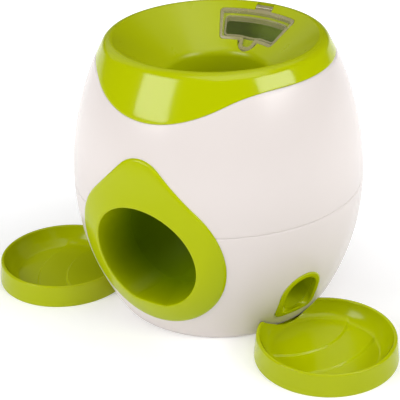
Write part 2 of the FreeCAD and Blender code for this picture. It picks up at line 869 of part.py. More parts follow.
def top_bowl():
    body = new_body("top_bowl")
    front_lobe(body, ZERO, -WALL, ZERO)
    front_lobe(body, -WALL - GAP, -WALL - GAP - size("skirt_wall"), size("skirt_drop"))
    profile = new_sketch(body, "XZ_Plane")
    bowl_profile(profile)
    turn(body, profile)
    block = new_sketch(body, "YZ_Plane")
    block_in = HINGE_R - size("hinge_block")
    beyond_eye = size("hinge_eye") * 1.5
    block_out = HINGE_R + beyond_eye
    block_low = HINGE_Z - beyond_eye
    cover = size("hinge_cover")
    outline(block, [
        (block_in, block_low),
        (block_out, block_low),
        (block_out, TOP - cover),
        (HINGE_R, cone(HINGE_R) - cover),
        (block_in, cone(block_in) - cover),
    ])
    pad(body, block, (size("hinge_half_width") + size("hinge_block")) * 2, both=True)
    low = cone(THUMB_MIDDLE - size("thumb_radius")) - (WALL + OVER / 2) / cosine(CONE)
    opening = new_sketch(body, "XY_Plane", lift=low)
    sector_outline(opening, HATCH_IN, HATCH_OUT, HATCH_ANGLE, size("hatch_corner"), thumb_notch())
    cut(body, opening, TOP, back=True)
    ledge = new_sketch(body, "YZ_Plane")
    ledge_in = size("throat_radius") + WALL / 2
    cone_layer(ledge, ledge_in, HATCH_OUT + WINDOW_EDGE / 2, WALL - GAP, WALL + size("ledge_wall"))
    turn(body, ledge, angle=(HATCH_ANGLE + size("ledge_spread_angle")) * 2, both=True)
    window = new_sketch(body, "XY_Plane", lift=THROAT_FOOT)
    sector_outline(window, HATCH_IN + WINDOW_EDGE, HATCH_OUT - WINDOW_EDGE, WINDOW_ANGLE, size("hatch_corner"))
    cut(body, window, TOP, back=True)
    pocket = new_sketch(body, "XY_Plane", lift=block_low - OVER)
    half = size("hinge_half_width") + size("hatch_gap")
    pocket_out = HINGE_R + size("hinge_eye") + size("hatch_gap")
    rectangle(pocket, -half, HATCH_OUT - size("hinge_root"), half, pocket_out)
    cut(body, pocket, TOP, back=True)
    bore = new_sketch(body, "YZ_Plane")
    circle(bore, HINGE_R, HINGE_Z, size("pin_radius"))
    cut(body, bore, (size("hinge_half_width") + size("hinge_block") - size("pin_end_gap") / 2) * 2, both=True)
    lug_top = LUG_HEIGHT + size("lug_wall")
    bosses = new_sketch(body, "XY_Plane", lift=lug_top)
    for angle in BOWL_SCREW_ANGLES:
        circle(bosses, *polar(BOWL_SCREW_PITCH, angle), size("bowl_boss"))
    pad(body, bosses, TOP - size("bowl_boss_depth") - lug_top)
    ear_top = EAR_HEIGHT + size("ear_wall")
    hangers = new_sketch(body, "XY_Plane", lift=ear_top)
    for angle in HOPPER_SCREW_ANGLES:
        circle(hangers, *polar(EAR_PITCH, angle), size("bowl_boss"))
    pad(body, hangers, TOP - size("ear_boss_depth") - ear_top)
    drill(body, BOWL_SCREW_PITCH, BOWL_SCREW_ANGLES, lug_top, size("screw_length"))
    drill(body, EAR_PITCH, HOPPER_SCREW_ANGLES, ear_top, size("screw_length"))


def hatch_lid():
    body = new_body("hatch_lid")
    lid_wall = size("lid_wall")
    gap = size("hatch_gap")
    span = (HATCH_ANGLE + size("lid_span_angle")) * 2
    rib_in = HATCH_IN + WINDOW_EDGE + gap
    rib_out = HATCH_OUT - WINDOW_EDGE - gap
    rib_wall = size("lid_rib_wall")
    rib_angle = WINDOW_ANGLE - size("lid_side_angle")
    corner = size("hatch_corner")
    rib = new_sketch(body, "YZ_Plane")
    cone_layer(rib, HATCH_IN, HATCH_OUT, lid_wall / 2, lid_wall + size("lid_rib_drop"))
    turn(body, rib, angle=span, both=True)
    around = new_sketch(body, "XY_Plane", lift=THROAT_FOOT)
    rectangle(around, -FAR, ZERO, FAR, FAR)
    sector_outline(around, rib_in, rib_out, rib_angle, corner)
    cut(body, around, TOP, back=True)
    inside = new_sketch(body, "XY_Plane", lift=THROAT_FOOT)
    sector_outline(inside, rib_in + rib_wall, rib_out - rib_wall, rib_angle - size("lid_rib_angle"),
                   corner - rib_wall)
    cut(body, inside, TOP, back=True)
    plate = new_sketch(body, "YZ_Plane")
    cone_layer(plate, TAB_REACH - OVER, HATCH_OUT + OVER, ZERO, lid_wall)
    turn(body, plate, angle=span, both=True)
    outside = new_sketch(body, "XY_Plane", lift=THROAT_FOOT)
    rectangle(outside, -FAR, ZERO, FAR, FAR)
    inner = HATCH_IN + gap
    half = size("tab_half_width")
    reach = TAB_REACH
    base = root(inner * inner - half * half)
    end, taper = size("tab_end_half_width"), size("tab_taper")
    shoulder = half - size("tab_lean")
    tab = [(-half, base), (-shoulder, reach + taper), (-end, reach), (end, reach),
           (shoulder, reach + taper), (half, base)]
    lid_angle = HATCH_ANGLE - size("lid_side_angle")
    sector_outline(outside, inner, HATCH_OUT - gap, lid_angle, corner, tab)
    cut(body, outside, TOP, back=True)
    tongue = new_sketch(body, "YZ_Plane")
    root_r = HATCH_OUT - size("hinge_root")
    outline(tongue, [
        (root_r, cone(root_r) - lid_wall * 0.9 / cosine(CONE)),
        (HINGE_R, HINGE_Z - size("hinge_eye") * 0.6),
        (HINGE_R, HINGE_Z + size("hinge_eye") * 0.8),
        (root_r, cone(root_r) - lid_wall * 0.2),
    ])
    pad(body, tongue, size("hinge_half_width") * 2, both=True)
    eye = new_sketch(body, "YZ_Plane")
    circle(eye, HINGE_R, HINGE_Z, size("hinge_eye"))
    pad(body, eye, size("hinge_half_width") * 2, both=True)
    bore = new_sketch(body, "YZ_Plane")
    circle(bore, HINGE_R, HINGE_Z, size("pin_radius") + size("pin_gap"))
    cut(body, bore, size("hinge_half_width") * 3, both=True)


def hatch_hinge_pin():
    body = new_body("hatch_hinge_pin")
    pin = new_sketch(body, "YZ_Plane")
    circle(pin, HINGE_R, HINGE_Z, size("pin_radius"))
    pad(body, pin, (size("hinge_half_width") + size("hinge_block") - size("pin_end_gap")) * 2, both=True)


# ---------------------------------------------------------------- ball outlet surround

FLAT_HEIGHT = size("mouth_height") - root(
    size("mouth_radius") * size("mouth_radius") - size("runner_half_width") * size("runner_half_width"))


def outside(body, draw):
    """Cuts away everything in front of the barrel's axis that lies outside a drawn outline."""
    frame = new_sketch(body, "XZ_Plane")
    rectangle(frame, -FAR, -size("axle_radius"), FAR, TOP)
    draw(frame)
    cut(body, frame, FAR * 2, back=True)


def shave(body, offset, low, high):
    """Cuts away everything outside a surface that lies offset outside the barrel."""
    away = new_sketch(body, "XZ_Plane")
    outline(away, barrel_ring(low, high, offset + FAR, offset))
    turn(body, away, remove=True)


def ball_outlet_surround():
    body = new_body("ball_outlet_surround")
    low = size("surround_height") - size("surround_radius") - OVER * 3
    high = TOP * 0.75
    insert = new_sketch(body, "YZ_Plane")
    outline(insert, barrel_ring(low, high, ZERO, -WALL, side=-1))
    turn(body, insert, angle=size("surround_half_turn") * 2, both=True)
    outside(body, lambda sketch: teardrop(sketch, SMALL_TEARDROP))
    flange = new_sketch(body, "YZ_Plane")
    outline(flange, barrel_ring(low, high, PROUD, ZERO, side=-1))
    turn(body, flange, angle=size("surround_half_turn") * 2, both=True)
    outside(body, teardrop)
    sleeve = new_sketch(body, "XZ_Plane", lift=size("sleeve_depth"))
    circle(sleeve, ZERO, size("mouth_height"), size("mouth_radius") + size("sleeve_wall"))
    pad(body, sleeve, FAR - size("sleeve_depth"))
    shave(body, PROUD, size("shell_foot"), high)
    mouth = new_sketch(body, "XZ_Plane", lift=size("throat_radius"))
    radius = size("mouth_radius")
    half = size("runner_half_width")
    outline(mouth, [
        (-half, FLAT_HEIGHT, radius),
        (half, FLAT_HEIGHT),
        (ZERO, size("mouth_height") + radius, radius),
    ])
    cut(body, mouth, FAR * 2, back=True)


# ---------------------------------------------------------------- ball chute

BEND = size("bend_radius")
BEND_HEIGHT = size("mouth_height") + BEND
CHUTE_OUT = size("chute_radius") + size("chute_wall")
NECK_TOP = THROAT_FOOT + size("neck_over_foot")


def half_disc(sketch, side, radius, middle):
    """The half of a disc on one side of the split plane."""
    split = size("split_gap")
    half = root(radius * radius - split * split)
    first, last = (middle - half, middle + half) if side > 0 else (middle + half, middle - half)
    outline(sketch, [
        (side * split, first),
        (side * radius, middle, radius),
        (side * split, last, radius),
    ])


def chute_run(body, side, radius, over, remove):
    """The neck, elbow and tunnel of one half, with over added at both open ends."""
    neck = new_sketch(body, "XY_Plane", lift=BEND_HEIGHT)
    half_disc(neck, side, radius, ZERO)
    reach = size("sleeve_depth") - size("chute_gap") - BEND + over
    if remove:
        cut(body, neck, NECK_TOP - BEND_HEIGHT + over, back=True)
    else:
        pad(body, neck, NECK_TOP - BEND_HEIGHT + over)
    elbow = new_sketch(body, "XY_Plane", lift=BEND_HEIGHT, up=-BEND)
    half_disc(elbow, side, radius, BEND)
    turn(body, elbow, angle=90, axis="H_Axis", back=True, remove=remove)
    tunnel = new_sketch(body, "XZ_Plane", lift=BEND)
    half_disc(tunnel, side, radius, size("mouth_height"))
    if remove:
        cut(body, tunnel, reach, back=True)
    else:
        pad(body, tunnel, reach)


def ear_spots():
    """Where the halves are screwed together: (y, z) on the split plane."""
    out = size("ear_radius") - size("ear_bite")
    low_angle = size("ear_low_angle")
    rear = BEND + CHUTE_OUT + out
    return [
        (-(CHUTE_OUT + out), THROAT_FOOT),
        (-(size("sleeve_depth") - size("ear_radius") - OVER), size("mouth_height") + CHUTE_OUT + out),
        (-BEND + rear * cosine(low_angle), BEND_HEIGHT - rear * sine(low_angle)),
    ]


def ball_chute(side, label):
    body = new_body(label)
    chute_run(body, side, CHUTE_OUT, ZERO, remove=False)
    post = new_sketch(body, "XY_Plane", lift=SEAT_HEIGHT)
    circle(post, side * size("post_x"), size("post_y"), size("post_radius"))
    pad(body, post, size("post_top") - SEAT_HEIGHT)
    depth = size("ear_flange") if side > 0 else size("ear_width")
    ears = new_sketch(body, "YZ_Plane", lift=side * size("split_gap"))
    for y, z in ear_spots():
        circle(ears, y, z, size("ear_radius"))
    pad(body, ears, depth, back=side < 0)
    chute_run(body, side, size("chute_radius"), size("chute_gap") + OVER, remove=True)
    slot = new_sketch(body, "YZ_Plane", across=AXLE_Y, up=size("axle_height"))
    start, end = size("slot_start"), size("slot_end")
    inner = AXLE_Y - CHUTE_OUT - size("slot_lead")
    outer = BLADE_REACH + size("slot_play")
    outline(slot, [
        (-inner * cosine(start), -inner * sine(start), -inner),
        (-outer * cosine(start), -outer * sine(start)),
        (-outer * cosine(end), -outer * sine(end), outer),
        (-inner * cosine(end), -inner * sine(end)),
    ])
    cut(body, slot, size("slot_half_length") * 2, both=True)
    holes = new_sketch(body, "YZ_Plane")
    for y, z in ear_spots():
        circle(holes, y, z, SCREW_HOLE)
    cut(body, holes, size("ear_width") * 3, both=True)
    pilot = new_sketch(body, "XY_Plane", lift=SEAT_HEIGHT)
    circle(pilot, side * size("post_x"), size("post_y"), SCREW_HOLE)
    cut(body, pilot, size("screw_length"), back=True)


# ---------------------------------------------------------------- side outlets and treat chutes

def passage(body, side, spot, angle, half_width, half_height, wall):
    """A section of the treats' way: an oblong square to the way's direction, wall larger all round."""
    x, y, z = spot
    section = new_sketch(body, "XZ_Plane", lift=-y, across=side * x, up=z, turn=side * angle.number)
    stadium(section, ZERO, ZERO, half_width + wall, half_height + wall)
    return section


def outlet_sections(body, side, wall, facing):
    """The last two sections. facing is the outlet's turn from the front."""
    knee, leave = OUTLET_RADIUS - size("knee_inset"), OUTLET_RADIUS + size("exit_beyond")
    knee_turn = size("knee_turn") if facing.number else facing
    return [
        passage(body, side, (knee * sine(facing), -knee * cosine(facing), size("knee_height")),
                knee_turn, size("knee_half_width"), size("knee_half_height"), wall),
        passage(body, side, (leave * sine(facing), -leave * cosine(facing), size("exit_height")),
                facing, size("exit_half_width"), size("exit_half_height"), wall),
    ]


def outlet_collar(side, label):
    """Drawn facing the front, then turned to its side."""
    body = new_body(label)
    low, high = size("shell_foot"), size("outlet_height") * 2
    middle = size("outlet_height")
    plug = new_sketch(body, "YZ_Plane")
    outline(plug, barrel_ring(low, high, ZERO, -size("plug_depth"), side=-1))
    turn(body, plug, angle=size("collar_half_turn") * 2, both=True)
    seat = size("collar_seat")
    outside(body, lambda sketch: stadium(
        sketch, ZERO, middle, COLLAR_HALF_WIDTH - seat, COLLAR_HALF_HEIGHT - seat))
    flange = new_sketch(body, "YZ_Plane")
    outline(flange, barrel_ring(low, high, size("collar_proud"), ZERO, side=-1))
    turn(body, flange, angle=size("collar_half_turn") * 2, both=True)
    outside(body, lambda sketch: stadium(sketch, ZERO, middle, COLLAR_HALF_WIDTH, COLLAR_HALF_HEIGHT))
    loft(body, outlet_sections(body, side, ZERO, ZERO), remove=True)
    place(body, (0, 0, 0), (0, 0, 1), side * OUTLET_TURN.number)


def treat_chute(side, label):
    body = new_body(label)
    for wall, remove in ((size("treat_wall"), False), (ZERO, True)):
        head_x = size("divider_half_width") + size("rail_gap") / 2
        if remove:
            head_x = head_x - size("treat_play")
        head = passage(body, side, (head_x, AXLE_Y, size("treat_head_height")), Size(90, "90"),
                       size("treat_head_half_width"), size("treat_head_half_height"), wall)
        bend_spot = (size("treat_bend_x"), size("treat_bend_y"), size("treat_bend_height"))
        bend = passage(body, side, bend_spot, size("treat_bend_turn"),
                       size("treat_head_half_width"), size("treat_head_half_height"), wall)
        sections = [head, bend] + outlet_sections(body, side, wall, OUTLET_TURN)
        loft(body, sections, remove=remove)
    shave(body, -size("plug_depth") - size("treat_play"), size("shell_foot"), size("outlet_height") * 3)


def treat_divider():
    body = new_body("treat_divider")
    half = size("divider_half_width")
    foot = size("divider_foot")
    head = size("duct_foot")
    wall = size("divider_wall")
    inner_depth = (size("divider_half_depth") - wall) * 2
    block = new_sketch(body, "XZ_Plane", lift=-AXLE_Y)
    rectangle(block, -half, foot, half, head)
    pad(body, block, size("divider_half_depth") * 2, both=True)
    way = new_sketch(body, "XZ_Plane", lift=-AXLE_Y)
    slope = (size("ridge_height") - size("ridge_edge")) / half
    over = half + OVER
    outline(way, [
        (-over, size("ridge_height") - over * slope),
        (ZERO, size("ridge_height")),
        (over, size("ridge_height") - over * slope),
        (over, head - wall),
        (-over, head - wall),
    ])
    cut(body, way, inner_depth, both=True)
    under = new_sketch(body, "XZ_Plane", lift=-AXLE_Y)
    under_apex = size("ridge_height") - size("ridge_wall")
    under_half = (under_apex - foot + OVER) / slope
    outline(under, [(-under_half, foot - OVER), (under_half, foot - OVER), (ZERO, under_apex)])
    cut(body, under, inner_depth, both=True)
    entry = new_sketch(body, "XY_Plane", lift=size("ridge_height"), up=AXLE_Y)
    rectangle(entry, -size("mouth_half_length"), -MOUTH_DEPTH, size("mouth_half_length"), MOUTH_DEPTH)
    cut(body, entry, FAR, back=True)
    stand = new_sketch(body, "XY_Plane", lift=SEAT_HEIGHT)
    circle(stand, ZERO, STAND_Y, size("post_radius"))
    pad(body, stand, size("stand_top") - SEAT_HEIGHT)
    pilot = new_sketch(body, "XY_Plane", lift=SEAT_HEIGHT)
    circle(pilot, ZERO, STAND_Y, SCREW_HOLE)
    cut(body, pilot, size("screw_length"), back=True)


# ---------------------------------------------------------------- hopper

DUCT_TOP = THROAT_FOOT - size("duct_under_foot")
HOPPER_FOOT = DUCT_TOP + size("hopper_lift")
HOPPER_OUTER = BODY - size("hopper_inset")
HOPPER_BRIM = TOP - size("hopper_brim_drop")


def hopper_form(label, wall):
    """The hopper's outside, or with no wall the room inside it."""
    body = new_body(label)
    inset = size("hopper_wall") - wall
    foot = HOPPER_FOOT
    angle = size("hopper_half_angle")
    mean = (size("hopper_inner") + HOPPER_OUTER) / 2
    turn_in = inset / mean * DEGREES
    low = foot if wall.number else foot - OVER
    form = new_sketch(body, "XY_Plane", lift=low)
    sector_outline(form, size("hopper_inner") + inset, HOPPER_OUTER - inset, angle - turn_in,
                   size("hopper_corner"))
    pad(body, form, HOPPER_BRIM - low + (ZERO if wall.number else OVER))
    side_slope = size("funnel_side_slope")
    for side in (LEFT, RIGHT):
        under = new_sketch(body, "XZ_Plane", lift=-FAR)
        start = size("mouth_half_length") + wall / sine(side_slope)
        high = foot + (FAR - start) * tangent(side_slope)
        under_foot = foot - OVER * 2
        corners = [(side * start, under_foot), (side * FAR, under_foot), (side * FAR, high),
                   (side * start, foot)]
        outline(under, corners if side > 0 else corners[::-1])
        cut(body, under, FAR, back=True)
    front_slope = size("funnel_front_slope")
    under = new_sketch(body, "YZ_Plane")
    start = AXLE_Y - MOUTH_DEPTH - wall / sine(front_slope)
    under_foot = foot - OVER * 2
    high = foot + start * tangent(front_slope)
    outline(under, [(ZERO, under_foot), (start, under_foot), (start, foot), (ZERO, high)])
    cut(body, under, FAR * 2, both=True)
    if wall.number:
        above = new_sketch(body, "YZ_Plane")
        depth = WALL + size("ledge_wall") + size("hopper_under_bowl")
        cone_layer(above, size("throat_radius"), HOPPER_OUTER + OVER, -size("throat_round") * 6, depth)
        turn(body, above, remove=True)
    return body


def treat_hopper():
    outer = hopper_form("hopper_outside", size("hopper_wall"))
    for side in (LEFT, RIGHT):
        angle = 90 - side * SIZES["ear_angle"]
        arm = new_sketch(outer, "XY_Plane", lift=EAR_HEIGHT, spin=angle)
        pitch, reach = EAR_PITCH, size("ear_radius")
        length = pitch * sine(size("ear_angle") - size("hopper_half_angle")) + size("ear_arm_bite")
        corners = [(pitch - reach, ZERO), (pitch + reach, ZERO), (pitch + reach, side * length),
                   (pitch - reach, side * length)]
        outline(arm, corners)
        pad(outer, arm, size("ear_wall"))
        ear = new_sketch(outer, "XY_Plane", lift=EAR_HEIGHT)
        circle(ear, *polar(pitch, angle), reach)
        pad(outer, ear, size("ear_wall"))
        pads = new_sketch(outer, "XY_Plane", lift=HOPPER_FOOT)
        rectangle(pads, side * size("flange_half_length"), AXLE_Y - DUCT_DEPTH,
                  side * (size("mouth_half_length") + size("hopper_wall")), AXLE_Y + DUCT_DEPTH)
        pad(outer, pads, size("flange_wall"))
    drill(outer, EAR_PITCH, HOPPER_SCREW_ANGLES, EAR_HEIGHT, size("ear_wall"))
    pilots = new_sketch(outer, "XY_Plane", lift=HOPPER_FOOT)
    for x, y in flange_spots():
        circle(pilots, x, y, SCREW_HOLE)
    cut(outer, pilots, size("short_pilot"), back=True)
    room = hopper_form("hopper_room", ZERO)
    hopper = doc.addObject("Part::Cut", "treat_hopper")
    hopper.Label = "treat_hopper"
    hopper.Base = outer
    hopper.Tool = room
    doc.recompute()
    del parts["hopper_outside"], parts["hopper_room"]
    parts["treat_hopper"] = hopper


# ---------------------------------------------------------------- dosing drum and trip paddle

DRUM_BORE = size("drum_radius") + size("drum_gap")
FRAME_OUT = DRUM_BORE + size("frame_wall")
BAR_REACH = FRAME_OUT + size("bar_gap")
MOUTH_DEPTH = DRUM_BORE * sine(size("mouth_half_angle"))
DUCT_DEPTH = MOUTH_DEPTH + size("duct_wall")
FRAME_IN_END = size("drum_half_length") + size("side_gap")
FRAME_END = FRAME_IN_END + size("cheek_wall")
ARM_START = FRAME_END + size("arm_gap")
ARM_END = ARM_START + size("arm_wall")
AXLE = (ZERO, AXLE_Y, size("axle_height"))
AXLE_BORE = size("axle_radius") + size("axle_gap")


def flange_spots():
    x, y = size("flange_hole_x"), size("flange_hole_y")
    return [(i * x, AXLE_Y + j * y) for i in (-1, 1) for j in (-1, 1)]


def on_axle(body, start):
    """A sketch square to the axle, at a distance along it. Its origin is the axle's middle line."""
    return new_sketch(body, "YZ_Plane", lift=start)


def drum_frame():
    """Drawn about the axle, then moved to its place."""
    body = new_body("drum_frame")
    shell = on_axle(body, -FRAME_IN_END)
    circle(shell, ZERO, ZERO, FRAME_OUT)
    pad(body, shell, FRAME_IN_END + FRAME_END)
    low = size("duct_foot") - size("axle_height")
    high = DUCT_TOP - size("axle_height")
    duct_half = size("mouth_half_length") + size("duct_wall")
    duct = new_sketch(body, "XY_Plane", lift=low)
    rectangle(duct, -duct_half, -DUCT_DEPTH, duct_half, DUCT_DEPTH)
    pad(body, duct, high - low)
    flange = new_sketch(body, "XY_Plane", lift=high + size("hopper_lift"))
    reach = size("flange_half_length")
    rectangle(flange, -reach, -DUCT_DEPTH, reach, DUCT_DEPTH)
    pad(body, flange, size("flange_wall"), back=True)
    peg = on_axle(body, FRAME_END)
    circle(peg, size("peg_reach"), PEG_Z, size("peg_radius"))
    pad(body, peg, size("peg_length"))
    room = on_axle(body, -FRAME_IN_END)
    circle(room, ZERO, ZERO, DRUM_BORE)
    cut(body, room, FRAME_IN_END * 2, back=True)
    way = new_sketch(body, "XY_Plane", lift=low)
    length = size("mouth_half_length")
    rectangle(way, -length, -MOUTH_DEPTH, length, MOUTH_DEPTH)
    cut(body, way, high - low + OVER, back=True)
    bore = on_axle(body, FRAME_IN_END - OVER)
    circle(bore, ZERO, ZERO, AXLE_BORE)
    cut(body, bore, size("cheek_wall") + OVER * 2, back=True)
    holes = new_sketch(body, "XY_Plane", lift=high - size("flange_wall"))
    for x, y in flange_spots():
        circle(holes, x, y - AXLE_Y, SCREW_HOLE)
    cut(body, holes, size("flange_wall") * 2, back=True)
    place(body, AXLE)


def drum_cover():
    body = new_body("drum_cover")
    disc = on_axle(body, -FRAME_IN_END)
    circle(disc, ZERO, ZERO, FRAME_OUT)
    circle(disc, ZERO, ZERO, AXLE_BORE)
    pad(body, disc, size("cheek_wall"), back=True)
    place(body, AXLE)


def dosing_drum():
    body = new_body("dosing_drum")
    half = size("drum_half_length")
    drum = on_axle(body, -half)
    circle(drum, ZERO, ZERO, size("drum_radius"))
    pad(body, drum, half * 2)
    room = on_axle(body, -half + size("drum_wall"))
    circle(room, ZERO, ZERO, size("drum_radius") - size("drum_wall"))
    circle(room, ZERO, ZERO, size("drum_hub"))
    cut(body, room, (half - size("drum_wall")) * 2, back=True)
    opening = size("mouth_half_angle")
    for middle in (size("pocket_top_angle"), size("pocket_rear_angle")):
        slot = on_axle(body, -size("mouth_half_length"))
        far, near = size("drum_radius") + OVER, size("drum_radius") - size("drum_wall") - OVER
        first, last = middle - opening, middle + opening
        outline(slot, [
            (near * cosine(first), near * sine(first), -near),
            (far * cosine(first), far * sine(first)),
            (far * cosine(last), far * sine(last), far),
            (near * cosine(last), near * sine(last)),
        ])
        cut(body, slot, size("mouth_half_length") * 2, back=True)
    bore = on_axle(body, -half - OVER)
    circle(bore, ZERO, ZERO, size("axle_radius"))
    cut(body, bore, (half + OVER) * 2, back=True)
    place(body, AXLE)


def drum_axle():
    body = new_body("drum_axle")
    rod = on_axle(body, -size("axle_end"))
    circle(rod, ZERO, ZERO, size("axle_radius"))
    pad(body, rod, size("axle_end") + size("axle_head_inner"))
    head = on_axle(body, size("axle_head_inner"))
    circle(head, ZERO, ZERO, size("axle_head"))
    pad(body, head, size("axle_head_wall"))
    groove = on_axle(body, -ARM_END - size("axle_gap"))
    circle(groove, ZERO, ZERO, size("axle_radius") + OVER)
    circle(groove, ZERO, ZERO, size("clip_inner"))
    cut(body, groove, size("clip_wall"))
    place(body, AXLE)


def axle_clip():
    body = new_body("axle_clip")
    ring = on_axle(body, -ARM_END - size("axle_gap"))
    circle(ring, ZERO, ZERO, size("clip_radius"))
    circle(ring, ZERO, ZERO, size("clip_inner"))
    pad(body, ring, size("clip_wall"), back=True)
    opening = on_axle(body, -ARM_END)
    half = size("clip_half_opening")
    rectangle(opening, -half, ZERO, half, size("clip_radius") + OVER)
    cut(body, opening, size("clip_wall") * 2)
    place(body, AXLE)


PEG_Z = -size("spring_radius") + size("spring_wire") + size("peg_radius")


def trip_paddle():
    """Drawn level and pointing to the front, then tipped to its rest."""
    body = new_body("trip_paddle")
    high = size("arm_half_height")
    bar_out = BAR_REACH + size("bar_wall")
    for start, back in ((ARM_START, False), (-ARM_START, True)):
        arm = on_axle(body, start)
        rectangle(arm, -bar_out, -high, ZERO, high)
        pad(body, arm, size("arm_wall"), back=back)
        hub = on_axle(body, start)
        circle(hub, ZERO, ZERO, size("drum_hub"))
        pad(body, hub, size("arm_wall"), back=back)
    bar = on_axle(body, -ARM_END)
    rectangle(bar, -bar_out, -high, -BAR_REACH, high)
    pad(body, bar, ARM_END * 2)
    half_wall = size("blade_wall") / 2
    blade = on_axle(body, -size("blade_half_width"))
    tip = BLADE_REACH - half_wall
    outline(blade, [
        (-BAR_REACH - half_wall, -half_wall),
        (-BAR_REACH - half_wall, half_wall),
        (-tip, half_wall),
        (-tip - half_wall, ZERO, half_wall),
        (-tip, -half_wall, half_wall),
    ])
    pad(body, blade, size("blade_half_width") * 2)
    rib = on_axle(body, -half_wall)
    outline(rib, [
        (-bar_out + OVER, -half_wall - size("blade_rib")),
        (-bar_out + OVER, ZERO),
        (-tip, ZERO),
        (-tip, -half_wall),
    ])
    pad(body, rib, size("blade_wall"))
    rest = size("paddle_rest")
    peg_y, peg_z = -size("moving_peg_reach"), PEG_Z + size("peg_gap")
    peg = on_axle(body, ARM_END - OVER)
    circle(peg, peg_y * cosine(rest) + peg_z * sine(rest), peg_z * cosine(rest) - peg_y * sine(rest),
           size("peg_radius"))
    pad(body, peg, size("spring_start") - ARM_END + size("moving_peg_end"))
    bore = on_axle(body, -ARM_END - OVER)
    circle(bore, ZERO, ZERO, size("axle_radius"))
    cut(body, bore, (ARM_END + OVER) * 2, back=True)
    place(body, AXLE, (1, 0, 0), size("paddle_rest").number)


def return_spring():
    body = new_body("return_spring")
    start = size("spring_start") + size("spring_wire")
    height = size("spring_turns") * size("spring_pitch")
    wire = new_sketch(body, "XZ_Plane", across=start)
    circle(wire, ZERO, -size("spring_radius"), size("spring_wire"))
    coil = add_feature(body, "PartDesign::AdditiveHelix", wire)
    coil.ReferenceAxis = (wire, ["H_Axis"])
    coil.Mode = 0
    coil.setExpression("Pitch", "Sizes.spring_pitch")
    coil.setExpression("Height", height.text)
    doc.recompute()
    for where, back in ((start, False), (start + height, True)):
        leg = new_sketch(body, "XZ_Plane", across=where)
        circle(leg, ZERO, -size("spring_radius"), size("spring_wire"))
        pad(body, leg, size("spring_leg"), back=back)
    place(body, AXLE)


# ---------------------------------------------------------------- base plate, feet and trays

FOOT_ANGLES = (60, 120, 250, 290)
FOOT_PITCH = PLATE_RADIUS - size("foot_inset")
RAIL_OUTER = PLATE_RADIUS - size("rail_inset")
RAIL_INNER = RAIL_OUTER - size("rail_length")
TRAY_REACH = PLATE_RADIUS + size("tray_beyond_plate")
TRAY_MOUTH = PLATE_RADIUS + size("tray_sill")


def stand_spots():
    x, y = size("post_x"), size("post_y")
    return [(x, y), (-x, y), (ZERO, STAND_Y)]


def base_plate():
    body = new_body("base_plate")
    under = size("plate_height")
    disc = new_sketch(body, "XY_Plane", lift=under)
    circle(disc, ZERO, ZERO, PLATE_RADIUS)
    pad(body, disc, size("plate_wall"))
    sockets = new_sketch(body, "XY_Plane", lift=under)
    for angle in FOOT_ANGLES:
        circle(sockets, *polar(FOOT_PITCH, angle), size("foot_radius") + size("rail_wall"))
    pad(body, sockets, size("foot_socket"), back=True)
    hollows = new_sketch(body, "XY_Plane", lift=under - size("foot_socket"))
    for angle in FOOT_ANGLES:
        circle(hollows, *polar(FOOT_PITCH, angle), size("foot_radius") + size("foot_play"))
    cut(body, hollows, size("foot_socket"), back=True)
    gap = size("rail_gap")
    channel_half = size("tongue_half_width") + gap
    for side in (LEFT, RIGHT):
        spin = -90 + side * OUTLET_TURN.number
        block = new_sketch(body, "XY_Plane", lift=size("rail_low"), spin=spin)
        outer_half = channel_half + size("rail_wall")
        rectangle(block, RAIL_INNER, -outer_half, RAIL_OUTER, outer_half)
        pad(body, block, under - size("rail_low"))
        channel = new_sketch(body, "XY_Plane", lift=size("tongue_low") - gap, spin=spin)
        rectangle(channel, RAIL_INNER + size("rail_wall"), -channel_half, FAR, channel_half)
        cut(body, channel, size("tongue_wall") + gap * 2, back=True)
        gate = new_sketch(body, "XY_Plane", spin=spin)
        gate_half = channel_half - size("rail_lip")
        rectangle(gate, RAIL_INNER + size("rail_wall"), -gate_half, FAR, gate_half)
        cut(body, gate, size("tongue_low"), back=True)
    drill(body, BASE_SCREW_PITCH, BASE_SCREW_ANGLES, under, size("plate_wall"))
    holes = new_sketch(body, "XY_Plane", lift=under)
    for x, y in stand_spots():
        circle(holes, x, y, SCREW_HOLE)
    cut(body, holes, size("plate_wall"), back=True)


def rubber_feet():
    body = new_body("rubber_feet")
    feet = new_sketch(body, "XY_Plane")
    for angle in FOOT_ANGLES:
        circle(feet, *polar(FOOT_PITCH, angle), size("foot_radius"))
    pad(body, feet, size("plate_height"))


